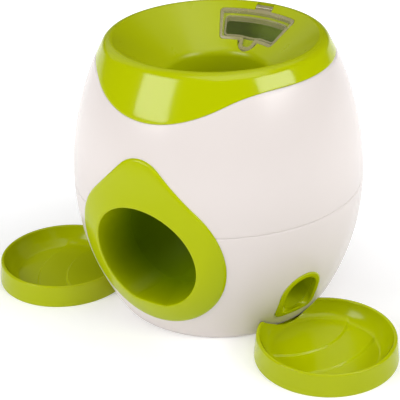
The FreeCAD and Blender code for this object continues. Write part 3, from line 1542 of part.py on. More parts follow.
def tray(side, label):
    """Drawn about its own middle with the outside towards +X, then moved beside the barrel."""
    body = new_body(label)
    under = size("tray_under")
    floor = size("tray_floor")
    floor_radius = size("tray_floor_radius")
    fillet = size("tray_fillet")
    crest = size("tray_crest")
    lip = size("tray_lip")
    lip_height = size("tray_lip_height")
    base = size("tray_base")
    foot = size("shell_foot")
    skin = size("tray_foot_skin")
    rim_foot = lip_height - size("tray_rim_foot")
    profile = new_sketch(body, "XZ_Plane")
    outline(profile, [
        (ZERO, under),
        (floor_radius + fillet * 1.5, under),
        (crest - lip / 2, rim_foot),
        (crest, rim_foot),
        (base - skin, ZERO),
        (base, ZERO),
        (base, foot),
        (crest + lip, lip_height),
        (crest, lip_height + lip, lip),
        (crest - lip, lip_height, lip),
        (floor_radius + fillet, floor + fillet * 0.5),
        (floor_radius, floor, -fillet),
        (ZERO, floor),
    ])
    turn(body, profile)
    centre = size("ripple_centre")
    reach = floor_radius - fillet / 7
    for curve, steps in ((size("ripple_inner"), 1), (size("ripple_outer"), 2)):
        cross = (curve * curve - reach * reach - centre * centre) / (centre * 2)
        half = root(reach * reach - cross * cross)
        ripple = new_sketch(body, "XY_Plane", lift=floor + OVER)
        outline(ripple, [
            (cross, -half, -curve),
            (reach, ZERO, reach),
            (cross, half, reach),
        ])
        cut(body, ripple, size("ripple_step") * steps + OVER)
    away = TRAY_REACH
    hollow = new_sketch(body, "XZ_Plane", across=-away)
    gap = size("tray_gap")
    top = lip_height + lip + OVER * 2
    mouth = TRAY_MOUTH
    outline(hollow, [
        (ZERO, -foot),
        (barrel(-foot, gap), -foot),
        (barrel(floor, gap), floor, size("lower_curve") + gap),
        (mouth, floor),
        (mouth, floor + fillet),
        (barrel(top, gap), top),
        (ZERO, top),
    ])
    turn(body, hollow, remove=True)
    tongue = new_sketch(body, "XY_Plane", lift=size("tongue_low"))
    half = size("tongue_half_width")
    rectangle(tongue, -size("tongue_reach"), -half, -floor_radius, half)
    pad(body, tongue, size("tongue_wall"))
    angle = -90 + side * OUTLET_TURN.number
    x, y = polar(away, angle)
    place(body, (x, y, 0), (0, 0, 1), angle)


# ---------------------------------------------------------------- screws

def screws(label, spots, height, length):
    """Upright pan-head screws with the head below, all in one group."""
    body = new_body(label)
    heads = new_sketch(body, "XY_Plane", lift=height)
    shanks = new_sketch(body, "XY_Plane", lift=height)
    for x, y in spots:
        circle(heads, x, y, size("screw_head"))
        circle(shanks, x, y, size("screw_radius"))
    pad(body, heads, size("screw_head_height"), back=True)
    pad(body, shanks, length)


def chute_screws():
    body = new_body("chute_screws")
    seat = size("split_gap") + size("ear_flange")
    heads = new_sketch(body, "YZ_Plane", lift=seat)
    shanks = new_sketch(body, "YZ_Plane", lift=seat)
    for y, z in ear_spots():
        circle(heads, y, z, size("screw_head"))
        circle(shanks, y, z, size("screw_radius"))
    pad(body, heads, size("screw_head_height"))
    pad(body, shanks, size("screw_length"), back=True)


def all_screws():
    base_spots = [polar(BASE_SCREW_PITCH, angle) for angle in BASE_SCREW_ANGLES] + stand_spots()
    screws("base_screws", base_spots, size("plate_height"), size("screw_length"))
    bowl_spots = [polar(BOWL_SCREW_PITCH, angle) for angle in BOWL_SCREW_ANGLES]
    screws("bowl_screws", bowl_spots, LUG_HEIGHT, size("screw_length"))
    hopper_spots = [polar(EAR_PITCH, angle) for angle in HOPPER_SCREW_ANGLES]
    screws("hopper_screws", hopper_spots, EAR_HEIGHT, size("screw_length"))
    flange_low = HOPPER_FOOT - size("flange_wall")
    screws("frame_screws", flange_spots(), flange_low, size("short_screw"))
    chute_screws()


# ---------------------------------------------------------------- build, check and write

def build():
    lower_shell()
    upper_shell()
    top_bowl()
    hatch_lid()
    hatch_hinge_pin()
    ball_outlet_surround()
    ball_chute(LEFT, "ball_chute_left")
    ball_chute(RIGHT, "ball_chute_right")
    outlet_collar(LEFT, "outlet_collar_left")
    outlet_collar(RIGHT, "outlet_collar_right")
    treat_chute(LEFT, "treat_chute_left")
    treat_chute(RIGHT, "treat_chute_right")
    treat_divider()
    treat_hopper()
    drum_frame()
    drum_cover()
    dosing_drum()
    drum_axle()
    axle_clip()
    trip_paddle()
    return_spring()
    base_plate()
    rubber_feet()
    tray(LEFT, "tray_left")
    tray(RIGHT, "tray_right")
    all_screws()
    doc.recompute()


def check():
    """Every object has to be sound and every shape valid before anything is written."""
    for item in doc.Objects:
        if "Invalid" in item.State or "Error" in item.State:
            raise ValueError(f"{item.Label} is in state {item.State}")
    for label, item in parts.items():
        shape = item.Shape
        if shape.isNull() or not shape.isValid() or not shape.Solids:
            raise ValueError(f"{label} has no valid solid")


def write():
    os.makedirs("parts", exist_ok=True)
    for label, item in parts.items():
        item.Shape.exportStep(f"parts/{label}.step")


build()
check()
write()
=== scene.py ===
"""The dressed model of the ball-drop treat dispenser.

Sizes are in millimetres, as in the construction, and each finished piece is scaled to metres.
The barrel stands on the floor about the Z axis and the ball comes out towards -Y.
"""
import bpy
import bmesh
import json
import math
from mathutils import Matrix, Vector


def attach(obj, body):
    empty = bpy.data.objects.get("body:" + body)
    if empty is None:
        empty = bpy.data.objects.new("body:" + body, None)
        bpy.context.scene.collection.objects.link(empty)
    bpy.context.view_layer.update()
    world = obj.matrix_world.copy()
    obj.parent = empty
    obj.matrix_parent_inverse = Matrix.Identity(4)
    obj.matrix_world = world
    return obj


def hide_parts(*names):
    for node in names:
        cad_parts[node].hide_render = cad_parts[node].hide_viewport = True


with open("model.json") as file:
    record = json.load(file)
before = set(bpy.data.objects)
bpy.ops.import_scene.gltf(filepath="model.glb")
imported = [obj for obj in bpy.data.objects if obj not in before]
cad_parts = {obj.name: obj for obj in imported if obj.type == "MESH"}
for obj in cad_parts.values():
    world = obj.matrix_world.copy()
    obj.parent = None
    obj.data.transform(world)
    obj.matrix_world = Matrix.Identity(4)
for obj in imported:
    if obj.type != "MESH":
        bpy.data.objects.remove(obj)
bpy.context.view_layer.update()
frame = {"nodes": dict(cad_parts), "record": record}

MM = 0.001
SEGMENTS = 256
BARREL_ROWS = 44
PLUG_POINTS = 96
CREASE = math.radians(35)
FRONT = -1
LEFT, RIGHT = -1, 1

# barrel
BODY = 125
BODY_TOP = 240
EQUATOR = 115.4
LOWER_CURVE = 212
UPPER_CURVE = 250
WALL = 2.5
SHELL_FOOT = 1.2
EDGE_ROUND = 0.35
EDGE_BEND = 0.1
CAP_BEND = 0.15
SEAM = 0.15
LAP = 5
LAP_SHARE = 0.45
ABOVE = BODY_TOP + 5

# wave between the shell and the cap
WAVE_LOW = 201.8
WAVE_DIP = 120
WAVE_TOP = 59.3
WAVE_ANGLE = math.radians(27.5)
WAVE_STRAIGHT = 7.4

# bowl
CREST = 86.5
LIP = 2.5
CONE = math.radians(36)
THROAT = 42
THROAT_ROUND = 9
THROAT_FOOT = 188

# hatch
HATCH_IN = 52.5
HATCH_OUT = 79.5
HATCH_ANGLE = math.radians(28.5)
HATCH_CORNER = 3.5
HATCH_GAP = 0.35
HATCH_LEDGE = 4.5
HATCH_ZONE = 40
LID_WALL = 2
LID_BORDER = 2.3
RIM_WALL = 1.2
RIM_LEAN = math.radians(3.9)
RIM_STEP = math.radians(1.1)
STRAP_HALF = 0.9
PANE_SUNK = 0.25
MARK = {"x": -16.8, "y": 59.8, "radius": 2.7, "width": 0.45, "height": 0.2}
TAB_REACH = 45.4
TAB_HALF = 7.75
TAB_END = 4.4
NOTCH_RADIUS = 10
NOTCH_MIDDLE = 54
HINGE_R = 83.5
HINGE_DROP = 2.2
HINGE_EYE = 2.3
HINGE_HALF = 8

# ball outlet
SURROUND = 68.5
SURROUND_Z = 88
SURROUND_APEX = 25
SURROUND_PROUD = 1.8
SURROUND_FLANGE = 4
MOUTH = 47
MOUTH_Z = 86
RUNNER_HALF = 14.7
SLEEVE_WALL = 2
SLEEVE_Y = -72.72
SLEEVE_TAPER = 2.25

# side outlets
OUTLET_TURN = math.radians(67.7)
OUTLET_Z = 42
COLLAR = {"half_width": 20.5, "top": 65.5, "bottom": 20.2, "corner": 7.5}
COLLAR_PROUD = 1.2
COLLAR_PLUG = 3
COLLAR_SEAT = 1.5
COLLAR_BACK = 70
OUTLET_LIP = {"half_width": 15.2, "top": 60.2, "bottom": 25.2, "corner": 5.5}
KNEE = {"reach": 87.89, "height": 50, "half_width": 13, "half_height": 17}
EXIT = {"reach": 121.89, "height": 36.4, "half_width": 15.1, "half_height": 24}

# trays
TRAY_REACH = 145.97
TRAY_BASE = 60
TRAY_CREST = 56.5
TRAY_LIP = 1.7
TRAY_LIP_Z = 18.3
TRAY_FLOOR = 6.2
TRAY_FLOOR_RADIUS = 43.2
TRAY_COVE = 8
TRAY_UNDER = 2.2
TRAY_GAP = 0.8
TRAY_MOUTH = 98.47
TRAY_RINGS = 54
TRAY_SEGMENTS = 320
RIPPLE_CENTRE = 61
RIPPLE_CURVES = (58, 84)
RIPPLE_STEP = 1.5
RIPPLE_SLOPE = 0.75
TONGUE_HALF = 19
TONGUE_REACH = 72
TONGUE_LOW = 2.3
TONGUE_WALL = 2.6
SLOT_HALF = 22
SLOT_TOP = 8
SLOT_NEAR = 60


# ---------------------------------------------------------------- shapes

def barrel(z, offset=0.0):
    """Radius of the barrel at a height, on a surface that lies offset outside it."""
    curve = LOWER_CURVE if z < EQUATOR else UPPER_CURVE
    return BODY - curve + math.sqrt((curve + offset) ** 2 - (z - EQUATOR) ** 2)


def barrel_run(low, high, rows, offset=0.0):
    """Points up the barrel's outline from one height to another."""
    heights = [low + (high - low) * k / rows for k in range(rows + 1)]
    return [(barrel(z, offset), z) for z in heights]


def arc(centre, radius, start, end, rows):
    """Points on an arc, with angles in radians from the r axis."""
    turns = [start + (end - start) * k / rows for k in range(rows + 1)]
    return [(centre[0] + radius * math.cos(a), centre[1] + radius * math.sin(a)) for a in turns]


def wave(x):
    """Height of the joint between shell and cap at a distance from the middle, seen from the front."""
    x = abs(x)
    dip_end = WAVE_DIP * math.sin(WAVE_ANGLE)
    dip_rise = WAVE_DIP * (1 - math.cos(WAVE_ANGLE))
    line_end = dip_end + WAVE_STRAIGHT * math.cos(WAVE_ANGLE)
    line_rise = dip_rise + WAVE_STRAIGHT * math.sin(WAVE_ANGLE)
    top_end = line_end + WAVE_TOP * math.sin(WAVE_ANGLE)
    level = WAVE_LOW + line_rise + WAVE_TOP * (1 - math.cos(WAVE_ANGLE))
    if x < dip_end:
        return WAVE_LOW + WAVE_DIP - math.sqrt(WAVE_DIP ** 2 - x ** 2)
    if x < line_end:
        return WAVE_LOW + dip_rise + (x - dip_end) * math.tan(WAVE_ANGLE)
    if x < top_end:
        return level - WAVE_TOP + math.sqrt(WAVE_TOP ** 2 - (top_end - x) ** 2)
    return level


CAP_EDGE = wave(BODY)


def wave_round(x, y):
    """Height of the joint on the barrel in the direction of (x, y)."""
    if y > 0:
        return CAP_EDGE
    sideways = x / math.hypot(x, y)
    z = CAP_EDGE
    for _ in range(8):
        z = wave(barrel(z) * sideways)
    return z


def spun(outline, closed=True, segments=SEGMENTS):
    """The surface that an outline of (radius, height) points sweeps about the Z axis."""
    bm = bmesh.new()
    dots = [bm.verts.new((r, 0, z)) for r, z in outline]
    pairs = list(zip(dots, dots[1:])) + ([(dots[-1], dots[0])] if closed else [])
    lines = [bm.edges.new(pair) for pair in pairs]
    bmesh.ops.spin(bm, geom=dots + lines, cent=(0, 0, 0), axis=(0, 0, 1), angle=2 * math.pi,
                   steps=segments, use_merge=True)
    bmesh.ops.remove_doubles(bm, verts=bm.verts, dist=1e-4)
    bmesh.ops.recalc_face_normals(bm, faces=bm.faces)
    return bm


def prism(outline, low, high):
    """An upright solid over a closed outline of (x, y) points."""
    bm = bmesh.new()
    base = bm.faces.new([bm.verts.new((x, y, low)) for x, y in outline])
    top = bmesh.ops.extrude_face_region(bm, geom=[base])["geom"]
    lifted = [item for item in top if isinstance(item, bmesh.types.BMVert)]
    bmesh.ops.translate(bm, verts=lifted, vec=(0, 0, high - low))
    bmesh.ops.recalc_face_normals(bm, faces=bm.faces)
    return bm


def block(low, high):
    """A box between two corners."""
    bm = bmesh.new()
    made = bmesh.ops.create_cube(bm, size=1)["verts"]
    size = [b - a for a, b in zip(low, high)]
    bmesh.ops.scale(bm, verts=made, vec=size)
    bmesh.ops.translate(bm, verts=made, vec=[(a + b) / 2 for a, b in zip(low, high)])
    return bm


def bench(bm):
    """A short-lived object that holds a shape for a boolean."""
    mesh = bpy.data.meshes.new("bench")
    bm.to_mesh(mesh)
    bm.free()
    item = bpy.data.objects.new("bench", mesh)
    bpy.context.scene.collection.objects.link(item)
    return item


def carve(bm, tool, operation="DIFFERENCE"):
    """The first shape with the second cut away, joined on or kept in common."""
    items = [bench(bm), bench(tool)]
    step = items[0].modifiers.new("carve", "BOOLEAN")
    step.operation = operation
    step.object = items[1]
    step.solver = "EXACT"
    graph = bpy.context.evaluated_depsgraph_get()
    mesh = bpy.data.meshes.new_from_object(items[0].evaluated_get(graph))
    result = bmesh.new()
    result.from_mesh(mesh)
    for item in items:
        old = item.data
        bpy.data.objects.remove(item)
        bpy.data.meshes.remove(old)
    bpy.data.meshes.remove(mesh)
    return result


def soften(bm, width, wanted, least_angle=0.8):
    """Rounds the sharp edges whose middle passes the test."""
    edges = []
    for edge in bm.edges:
        middle = (edge.verts[0].co + edge.verts[1].co) / 2
        if edge.is_manifold and edge.calc_face_angle(0) > least_angle and wanted(middle):
            edges.append(edge)
    bmesh.ops.bevel(bm, geom=edges, offset=width, offset_type="OFFSET", segments=2, profile=0.5,
                    affect="EDGES", clamp_overlap=True, material=-1)


def turned(bm, angle, shift=(0, 0, 0)):
    """Moves a shape and then turns it about the Z axis."""
    bmesh.ops.translate(bm, verts=bm.verts, vec=shift)
    bmesh.ops.rotate(bm, verts=bm.verts, cent=(0, 0, 0), matrix=Matrix.Rotation(angle, 3, "Z"))
    return bm


def finished(bm, name, body, node, material):
    """Turns a shape in millimetres into a piece of the model."""
    bmesh.ops.remove_doubles(bm, verts=bm.verts, dist=1e-4)
    bmesh.ops.scale(bm, verts=bm.verts, vec=(MM, MM, MM))
    mesh = bpy.data.meshes.new(name)
    bm.to_mesh(mesh)
    bm.free()
    mesh.polygons.foreach_set("use_smooth", [True] * len(mesh.polygons))
    mesh.set_sharp_from_angle(angle=CREASE)
    mesh.materials.append(material)
    piece = bpy.data.objects.new(name, mesh)
    bpy.context.scene.collection.objects.link(piece)
    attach(piece, body)
    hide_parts(node)
    return piece


# ---------------------------------------------------------------- materials

class Wire:
    """An output of a node. Arithmetic on it adds Math nodes."""

    def __init__(self, tree, socket):
        self.tree = tree
        self.socket = socket

    def math(self, operation, other):
        """Adds a Math node that works on this output and on another one, or on a number."""
        node = self.tree.nodes.new("ShaderNodeMath")
        node.operation = operation
        self.tree.links.new(self.socket, node.inputs[0])
        if isinstance(other, Wire):
            self.tree.links.new(other.socket, node.inputs[1])
        else:
            node.inputs[1].default_value = other
        return Wire(self.tree, node.outputs[0])

    def __add__(self, other):
        return self.math("ADD", other)

    def __mul__(self, other):
        return self.math("MULTIPLY", other)

    # a sum or a product is the same either way round
    __radd__ = __add__
    __rmul__ = __mul__


class Finish:
    """A material whose nodes are added one call at a time."""

    def __init__(self, name, **sockets):
        self.material = bpy.data.materials.new(name)
        self.material.use_nodes = True
        self.tree = self.material.node_tree
        self.shader = self.tree.nodes["Principled BSDF"]
        for socket, value in sockets.items():
            self.shader.inputs[socket.replace("_", " ")].default_value = value
        self.place = self.node("ShaderNodeTexCoord", output="Object")

    def node(self, kind, settings=None, output=0, **sockets):
        """Adds a node: its settings first, then the values or wires of its sockets.

        A socket goes by its name, or by in and its number where several share a name.
        """
        node = self.tree.nodes.new(kind)
        for key, value in (settings or {}).items():
            setattr(node, key, value)
        for key, value in sockets.items():
            numbered = key.startswith("in") and key[2:].isdigit()
            socket = node.inputs[int(key[2:]) if numbered else key.replace("_", " ")]
            if isinstance(value, Wire):
                self.tree.links.new(value.socket, socket)
            else:
                socket.default_value = value
        return Wire(self.tree, node.outputs[output])

    def noise(self, scale, detail=2.0, roughness=0.5):
        """Soft noise whose cells are about 1 / scale metres wide."""
        return self.node("ShaderNodeTexNoise", Vector=self.place, Scale=scale, Detail=detail,
                         Roughness=roughness)

    def blend(self, factor, first, second):
        """A colour between two colours."""
        return self.node("ShaderNodeMix", {"data_type": "RGBA"}, output=2, in0=factor, in6=first,
                         in7=second)

    def feed(self, socket, wire):
        """Links a wire to a socket of the shader."""
        self.tree.links.new(wire.socket, self.shader.inputs[socket.replace("_", " ")])

    def bump(self, height, distance, strength=1.0):
        """distance is the depth of the relief in metres."""
        relief = self.node("ShaderNodeBump", Height=height, Distance=distance, Strength=strength)
        self.feed("Normal", relief)


# in metres: where the painted shade deep in the ball outlet's sleeve fades in, in y, and where the bowl's
# finish gives way to the rim's, in radius
SLEEVE_SHADE_FADE = (-0.114, -0.076)
RIM_FADE = (0.088, 0.095)


def moulded(name, colour, shade, gloss, grain, sleeve_painted_shade=None, bowl_gloss=None, **sockets):
    """Injection-moulded plastic: cloudy colour, slight waviness, fine grain and faint handling marks.

    The sleeve's darker colour, when given, is painted shade that darkens the ball outlet's sleeve deeper
    in, and bowl_gloss is the roughness of the bowl within its rim.
    """
    finish = Finish(name, **sockets)
    cloud = finish.noise(9, 2) * 0.8 + finish.noise(120, 2) * 0.2
    skin = finish.blend(cloud, (*shade, 1), (*colour, 1))
    if sleeve_painted_shade:
        # painted shade: the colour darkens towards the sleeve's darker colour deeper into the sleeve, along
        # y
        depth = finish.node("ShaderNodeSeparateXYZ", output=1, Vector=finish.place)
        fade = finish.node("ShaderNodeMapRange", Value=depth, From_Min=SLEEVE_SHADE_FADE[0],
                           From_Max=SLEEVE_SHADE_FADE[1])
        skin = finish.blend(fade, skin, (*sleeve_painted_shade, 1))
    finish.feed("Base_Color", skin)
    scuffs = finish.noise(60, 4, 0.6)
    rough = scuffs * (gloss * 0.25) + gloss * 0.87
    if bowl_gloss:
        flat = finish.node("ShaderNodeVectorMath", {"operation": "MULTIPLY"}, in0=finish.place,
                           in1=(1, 1, 0))
        away = finish.node("ShaderNodeVectorMath", {"operation": "LENGTH"}, output=1, in0=flat)
        rough = rough + finish.node("ShaderNodeMapRange", Value=away, From_Min=RIM_FADE[0],
                                    From_Max=RIM_FADE[1], To_Min=bowl_gloss - gloss, To_Max=0.0)
    finish.feed("Roughness", rough)
    relief = finish.noise(22, 1) * 0.75 + finish.noise(1500, 2) * grain
    finish.bump(relief, 0.00016, 0.2)
    return finish.material


def clear_plastic(name, tint, haze, gloss):
    """A thin clear wall. Haze is the share of the surface that scatters light."""
    finish = Finish(name, IOR=1.9)
    cloud = finish.noise(40, 3)
    dim = (tint[0] * 0.93, tint[1] * 0.93, tint[2] * 0.9, 1)
    finish.feed("Base_Color", finish.blend(cloud, dim, (*tint, 1)))
    finish.feed("Roughness", finish.noise(90, 4) * 0.06 + gloss)
    finish.feed("Alpha", cloud * (haze * 0.3) + haze * 0.85)
    finish.bump(finish.noise(45, 1), 0.0001, 0.3)
    return finish.material


def plated_steel(name, dark, light):
    """Bright plating with fine drawn streaks."""
    finish = Finish(name, Metallic=1.0)
    streaks = finish.node("ShaderNodeTexNoise", Vector=finish.place, Scale=900, Detail=3.0, Distortion=0.6)
    finish.feed("Base_Color", finish.blend(streaks, (*dark, 1), (*light, 1)))
    finish.feed("Roughness", streaks * 0.18 + 0.24)
    finish.bump(streaks, 0.00002, 0.5)
    return finish.material


def rubber():
    """Soft dark rubber with dust and a fine grain."""
    finish = Finish("soft rubber")
    dust = finish.noise(120, 5, 0.7)
    finish.feed("Base_Color", finish.blend(dust, (0.055, 0.055, 0.055, 1), (0.12, 0.12, 0.118, 1)))
    finish.feed("Roughness", dust * 0.2 + 0.65)
    finish.bump(finish.noise(2500, 2), 0.00003, 0.6)
    return finish.material


LIME = ((0.420, 0.480, 0.000), (0.407, 0.466, 0.000))
GREEN = moulded("lime gloss", *LIME, gloss=0.13, grain=0.05, Specular_IOR_Level=0.30)
GREEN_BOWL = moulded("lime gloss with satin bowl", *LIME, gloss=0.13, grain=0.05, bowl_gloss=0.28,
                     Specular_IOR_Level=0.30)
GREEN_TRAY = moulded("lime soft gloss", *LIME, gloss=0.16, grain=0.06, Specular_IOR_Level=0.21)
# the sleeve's darker colour here is painted shade deep in the ball outlet
GREEN_SLEEVE = moulded("lime gloss with dull sleeve", *LIME, gloss=0.20, grain=0.10,
                       sleeve_painted_shade=(0.21, 0.300, 0.000), Specular_IOR_Level=0.13)
GREEN_OPEN = moulded("lime satin", (0.43, 0.50, 0.000), (0.41, 0.48, 0.000), gloss=0.34, grain=0.25,
                     Specular_IOR_Level=0.15)
# a copy of the lime at about half its brightness for the matte parts within the barrel: the darker colour
# is painted shade
GREEN_PAINTED_SHADE = moulded("lime satin darkened as painted shade", (0.205, 0.30, 0.000), (0.19, 0.28, 0.000), gloss=0.42, grain=0.25,
                     Specular_IOR_Level=0.08)
WHITE = moulded("warm white gloss", (0.705, 0.645, 0.620), (0.696, 0.637, 0.612), gloss=0.24, grain=0.03,
                Specular_IOR_Level=0.32)
WHITE_FINE = moulded("white satin", (0.64, 0.62, 0.59), (0.61, 0.59, 0.56), gloss=0.42, grain=0.25)
CLEAR = clear_plastic("clear plastic", tint=(0.34, 0.42, 0.12), haze=0.09, gloss=0.05)
CLEAR_EDGE = clear_plastic("clear plastic border", tint=(0.52, 0.46, 0.26), haze=0.52, gloss=0.10)
STEEL = plated_steel("plated steel", dark=(0.50, 0.50, 0.51), light=(0.68, 0.68, 0.69))
# the hinge pin's dark, brownish steel is partly painted shade of the hinge recess and partly the
# beige-brown of the clear hinge eye around it
PIN_STEEL_SHADED = plated_steel("pin steel with painted recess shade", dark=(0.20, 0.17, 0.11), light=(0.27, 0.23, 0.15))
RUBBER = rubber()


# ---------------------------------------------------------------- white shells

def front_map(x, z, offset):
    """The point on the barrel's front that lies at (x, z) in the front view."""
    return Vector((x, FRONT * math.sqrt(barrel(z, offset) ** 2 - x * x), z))


def teardrop(turn, inset=0.0):
    """Distance from the surround's middle to its outline, in a direction in the front view."""
    radius = SURROUND - inset
    apex = SURROUND_APEX - inset
    lean = abs(math.atan2(math.cos(turn), math.sin(turn)))
    corner = math.pi / 4
    if lean > corner:
        return radius
    apex_z = (SURROUND - SURROUND_APEX) / math.cos(corner)
    arc_start = math.atan2(apex * math.sin(corner), apex_z + apex * math.cos(corner))
    if lean > arc_start:
        return radius / math.cos(corner - lean)
    return apex_z * math.cos(lean) + math.sqrt(apex ** 2 - (apex_z * math.sin(lean)) ** 2)


def stadium(turn, half_width, half_height):
    """Distance from the middle of an upright oblong to its outline."""
    along, up = abs(math.cos(turn)), abs(math.sin(turn))
    flat = half_height - half_width
    if up * half_width <= flat * along:
        return half_width / along
    return flat * up + math.sqrt(half_width ** 2 - (flat * along) ** 2)


def arch(turn, half_width, top, bottom, corner, inset=0.0):
    """Distance from the outlet's middle to an arch with a flat foot, in a direction in the front view."""
    half_width, top, bottom, corner = half_width - inset, top - inset, bottom + inset, corner - inset

    def holds(x, z):
        if x > half_width or z < bottom:
            return False
        if z > top - half_width:
            return math.hypot(x, z - top + half_width) <= half_width
        if z < bottom + corner and x > half_width - corner:
            return math.hypot(x - half_width + corner, z - bottom - corner) <= corner
        return True

    near, far = 0.0, top
    for _ in range(24):
        reach = (near + far) / 2
        if holds(abs(reach * math.cos(turn)), OUTLET_Z + reach * math.sin(turn)):
            near = reach
        else:
            far = reach
    return near


def front_plug(reach, middle, near=30.0):
    """A solid that cuts a front-view outline out of the barrel's front."""
    turns = [2 * math.pi * k / PLUG_POINTS for k in range(PLUG_POINTS)]
    outline = [(reach(turn) * math.cos(turn), reach(turn) * math.sin(turn)) for turn in turns]
    bm = prism(outline, near, BODY * 1.2)
    bmesh.ops.rotate(bm, verts=bm.verts, cent=(0, 0, 0), matrix=Matrix.Rotation(math.pi / 2, 3, "X"))
    bmesh.ops.translate(bm, verts=bm.verts, vec=(0, 0, middle))
    return bm


def cut_surround(bm):
    """Opens a shell where the ball outlet's surround sits."""
    inset = SURROUND_FLANGE - SEAM
    return carve(bm, front_plug(lambda turn: teardrop(turn, inset), SURROUND_Z))


def lower_shell():
    """The white lower half, with a tongue for the lap, the side outlets' holes and the trays' slots."""
    tongue = BODY - WALL * (1 - LAP_SHARE)
    outline = barrel_run(SHELL_FOOT + EDGE_ROUND, EQUATOR - EDGE_ROUND, BARREL_ROWS)
    outline += [(BODY - EDGE_BEND, EQUATOR - EDGE_BEND - SEAM / 2), (BODY - EDGE_ROUND, EQUATOR - SEAM / 2),
                (tongue, EQUATOR - SEAM / 2), (tongue, EQUATOR + LAP), (BODY - WALL, EQUATOR + LAP)]
    outline += barrel_run(EQUATOR, SHELL_FOOT, BARREL_ROWS, -WALL)
    foot = barrel(SHELL_FOOT)
    outline += [(foot - EDGE_ROUND, SHELL_FOOT), (foot - EDGE_BEND, SHELL_FOOT + CAP_BEND)]
    bm = cut_surround(spun(outline))
    play = COLLAR_SEAT - SEAM
    for side in (LEFT, RIGHT):
        hole = front_plug(lambda turn: arch(turn, inset=play, **COLLAR), OUTLET_Z, COLLAR_BACK)
        bm = carve(bm, turned(hole, side * OUTLET_TURN))
        slot = block((-SLOT_HALF, -BODY, -1), (SLOT_HALF, -SLOT_NEAR, SLOT_TOP))
        bm = carve(bm, turned(slot, side * OUTLET_TURN))
    return finished(bm, "lower_shell_skin", "housing", "lower_shell", WHITE)


ROW_PLAY = 0.7


def follow_wave(bm, low, high):
    """Stretches the barrel's rows between two heights so that the level joint becomes the wave."""
    start, end = min(low, high), max(low, high)
    for vert in bm.verts:
        x, y, z = vert.co
        offset = math.hypot(x, y) - barrel(z)
        if not start - ROW_PLAY <= z <= end + ROW_PLAY or offset < -WALL - 1:
            continue
        share = (z - high) / (low - high)
        drop = CAP_EDGE - wave_round(x, y)
        lowered = z - drop * min(max(share, 0.0), 1.0)
        scale = (barrel(lowered) + offset) / math.hypot(x, y)
        vert.co = (x * scale, y * scale, lowered)


def upper_shell():
    """The white upper half, which laps over the lower one and has the wave as its upper edge."""
    edge = CAP_EDGE - SEAM
    recess = BODY - WALL * LAP_SHARE
    outline = [(BODY - EDGE_ROUND, EQUATOR + SEAM / 2), (BODY - EDGE_BEND, EQUATOR + EDGE_BEND + SEAM / 2)]
    outline += barrel_run(EQUATOR + EDGE_ROUND + SEAM / 2, edge - EDGE_ROUND, BARREL_ROWS)
    outline += [(barrel(edge) - CAP_BEND, edge - CAP_BEND), (barrel(edge) - EDGE_ROUND, edge)]
    outline += barrel_run(edge, EQUATOR + LAP + SEAM, BARREL_ROWS, -WALL)
    outline += [(recess, EQUATOR + LAP + SEAM), (recess, EQUATOR + SEAM / 2)]
    bm = spun(outline)
    follow_wave(bm, edge, EQUATOR + LAP + SEAM)
    bm = cut_surround(bm)
    return finished(bm, "upper_shell_skin", "housing", "upper_shell", WHITE)


# ---------------------------------------------------------------- green cap and bowl

CONE_TOP_R = CREST - LIP * math.sin(CONE)
CONE_TOP_Z = BODY_TOP - LIP + LIP * math.cos(CONE)


def cone(r, depth=0.0):
    """Height of the bowl's surface at a radius, or of a layer under it."""
    return CONE_TOP_Z - (CONE_TOP_R - r) * math.tan(CONE) - depth / math.cos(CONE)


def rim_roll():
    """Radius of the rim's outer roll, and the angle at which it leaves the barrel."""
    across = CREST - BODY + UPPER_CURVE
    rise = BODY_TOP - EQUATOR
    roll = (UPPER_CURVE ** 2 - across ** 2 - rise ** 2) / (2 * (UPPER_CURVE - rise))
    return roll, math.atan2(rise - roll, across)


def hatch_outline(inner, outer, half_angle, corner, bite):
    """Outline of the hatch in the plan view, from the right inner corner round to the left one."""
    points = []
    for side, reach, start in ((1, inner, -90), (1, outer, 0), (-1, outer, 90), (-1, inner, 180)):
        middle_r = reach + corner if reach == inner else reach - corner
        lean = half_angle - math.asin(corner / middle_r)
        middle = (side * middle_r * math.sin(lean), middle_r * math.cos(lean))
        swing = math.degrees(-side * half_angle)
        first = math.radians(start + swing)
        points += arc(middle, corner, first, first + math.pi / 2, 6)
        if side == 1 and reach == outer:
            points += arc((0, 0), outer, math.pi / 2 - lean * 0.9, math.pi / 2 + lean * 0.9, 24)
    points += arc((0, 0), inner, math.pi / 2 + half_angle * 0.8, math.pi / 2 + half_angle * 0.4, 5)
    points += bite
    points += arc((0, 0), inner, math.pi / 2 - half_angle * 0.4, math.pi / 2 - half_angle * 0.8, 5)
    return points


def notch_outline():
    """The round finger notch below the hatch."""
    high = (HATCH_IN ** 2 + NOTCH_MIDDLE ** 2 - NOTCH_RADIUS ** 2) / (2 * NOTCH_MIDDLE)
    half = math.sqrt(HATCH_IN ** 2 - high ** 2)
    start = math.atan2(high - NOTCH_MIDDLE, -half) + 2 * math.pi
    end = math.atan2(high - NOTCH_MIDDLE, half) + 2 * math.pi
    return arc((0, NOTCH_MIDDLE), NOTCH_RADIUS, start, end, 18)


def cone_slab(inner, outer, top, low, half_angle):
    """A layer under the bowl's surface, on both sides of the hatch's middle."""
    bm = bmesh.new()
    corners = [(inner, cone(inner, low)), (outer, cone(outer, low)), (outer, cone(outer, top)),
               (inner, cone(inner, top))]
    side = bm.faces.new([bm.verts.new((0, r, z)) for r, z in corners])
    bmesh.ops.rotate(bm, verts=bm.verts, cent=(0, 0, 0), matrix=Matrix.Rotation(-half_angle, 3, "Z"))
    bmesh.ops.spin(bm, geom=[side], cent=(0, 0, 0), axis=(0, 0, 1), angle=2 * half_angle, steps=48)
    bmesh.ops.recalc_face_normals(bm, faces=bm.faces)
    return bm


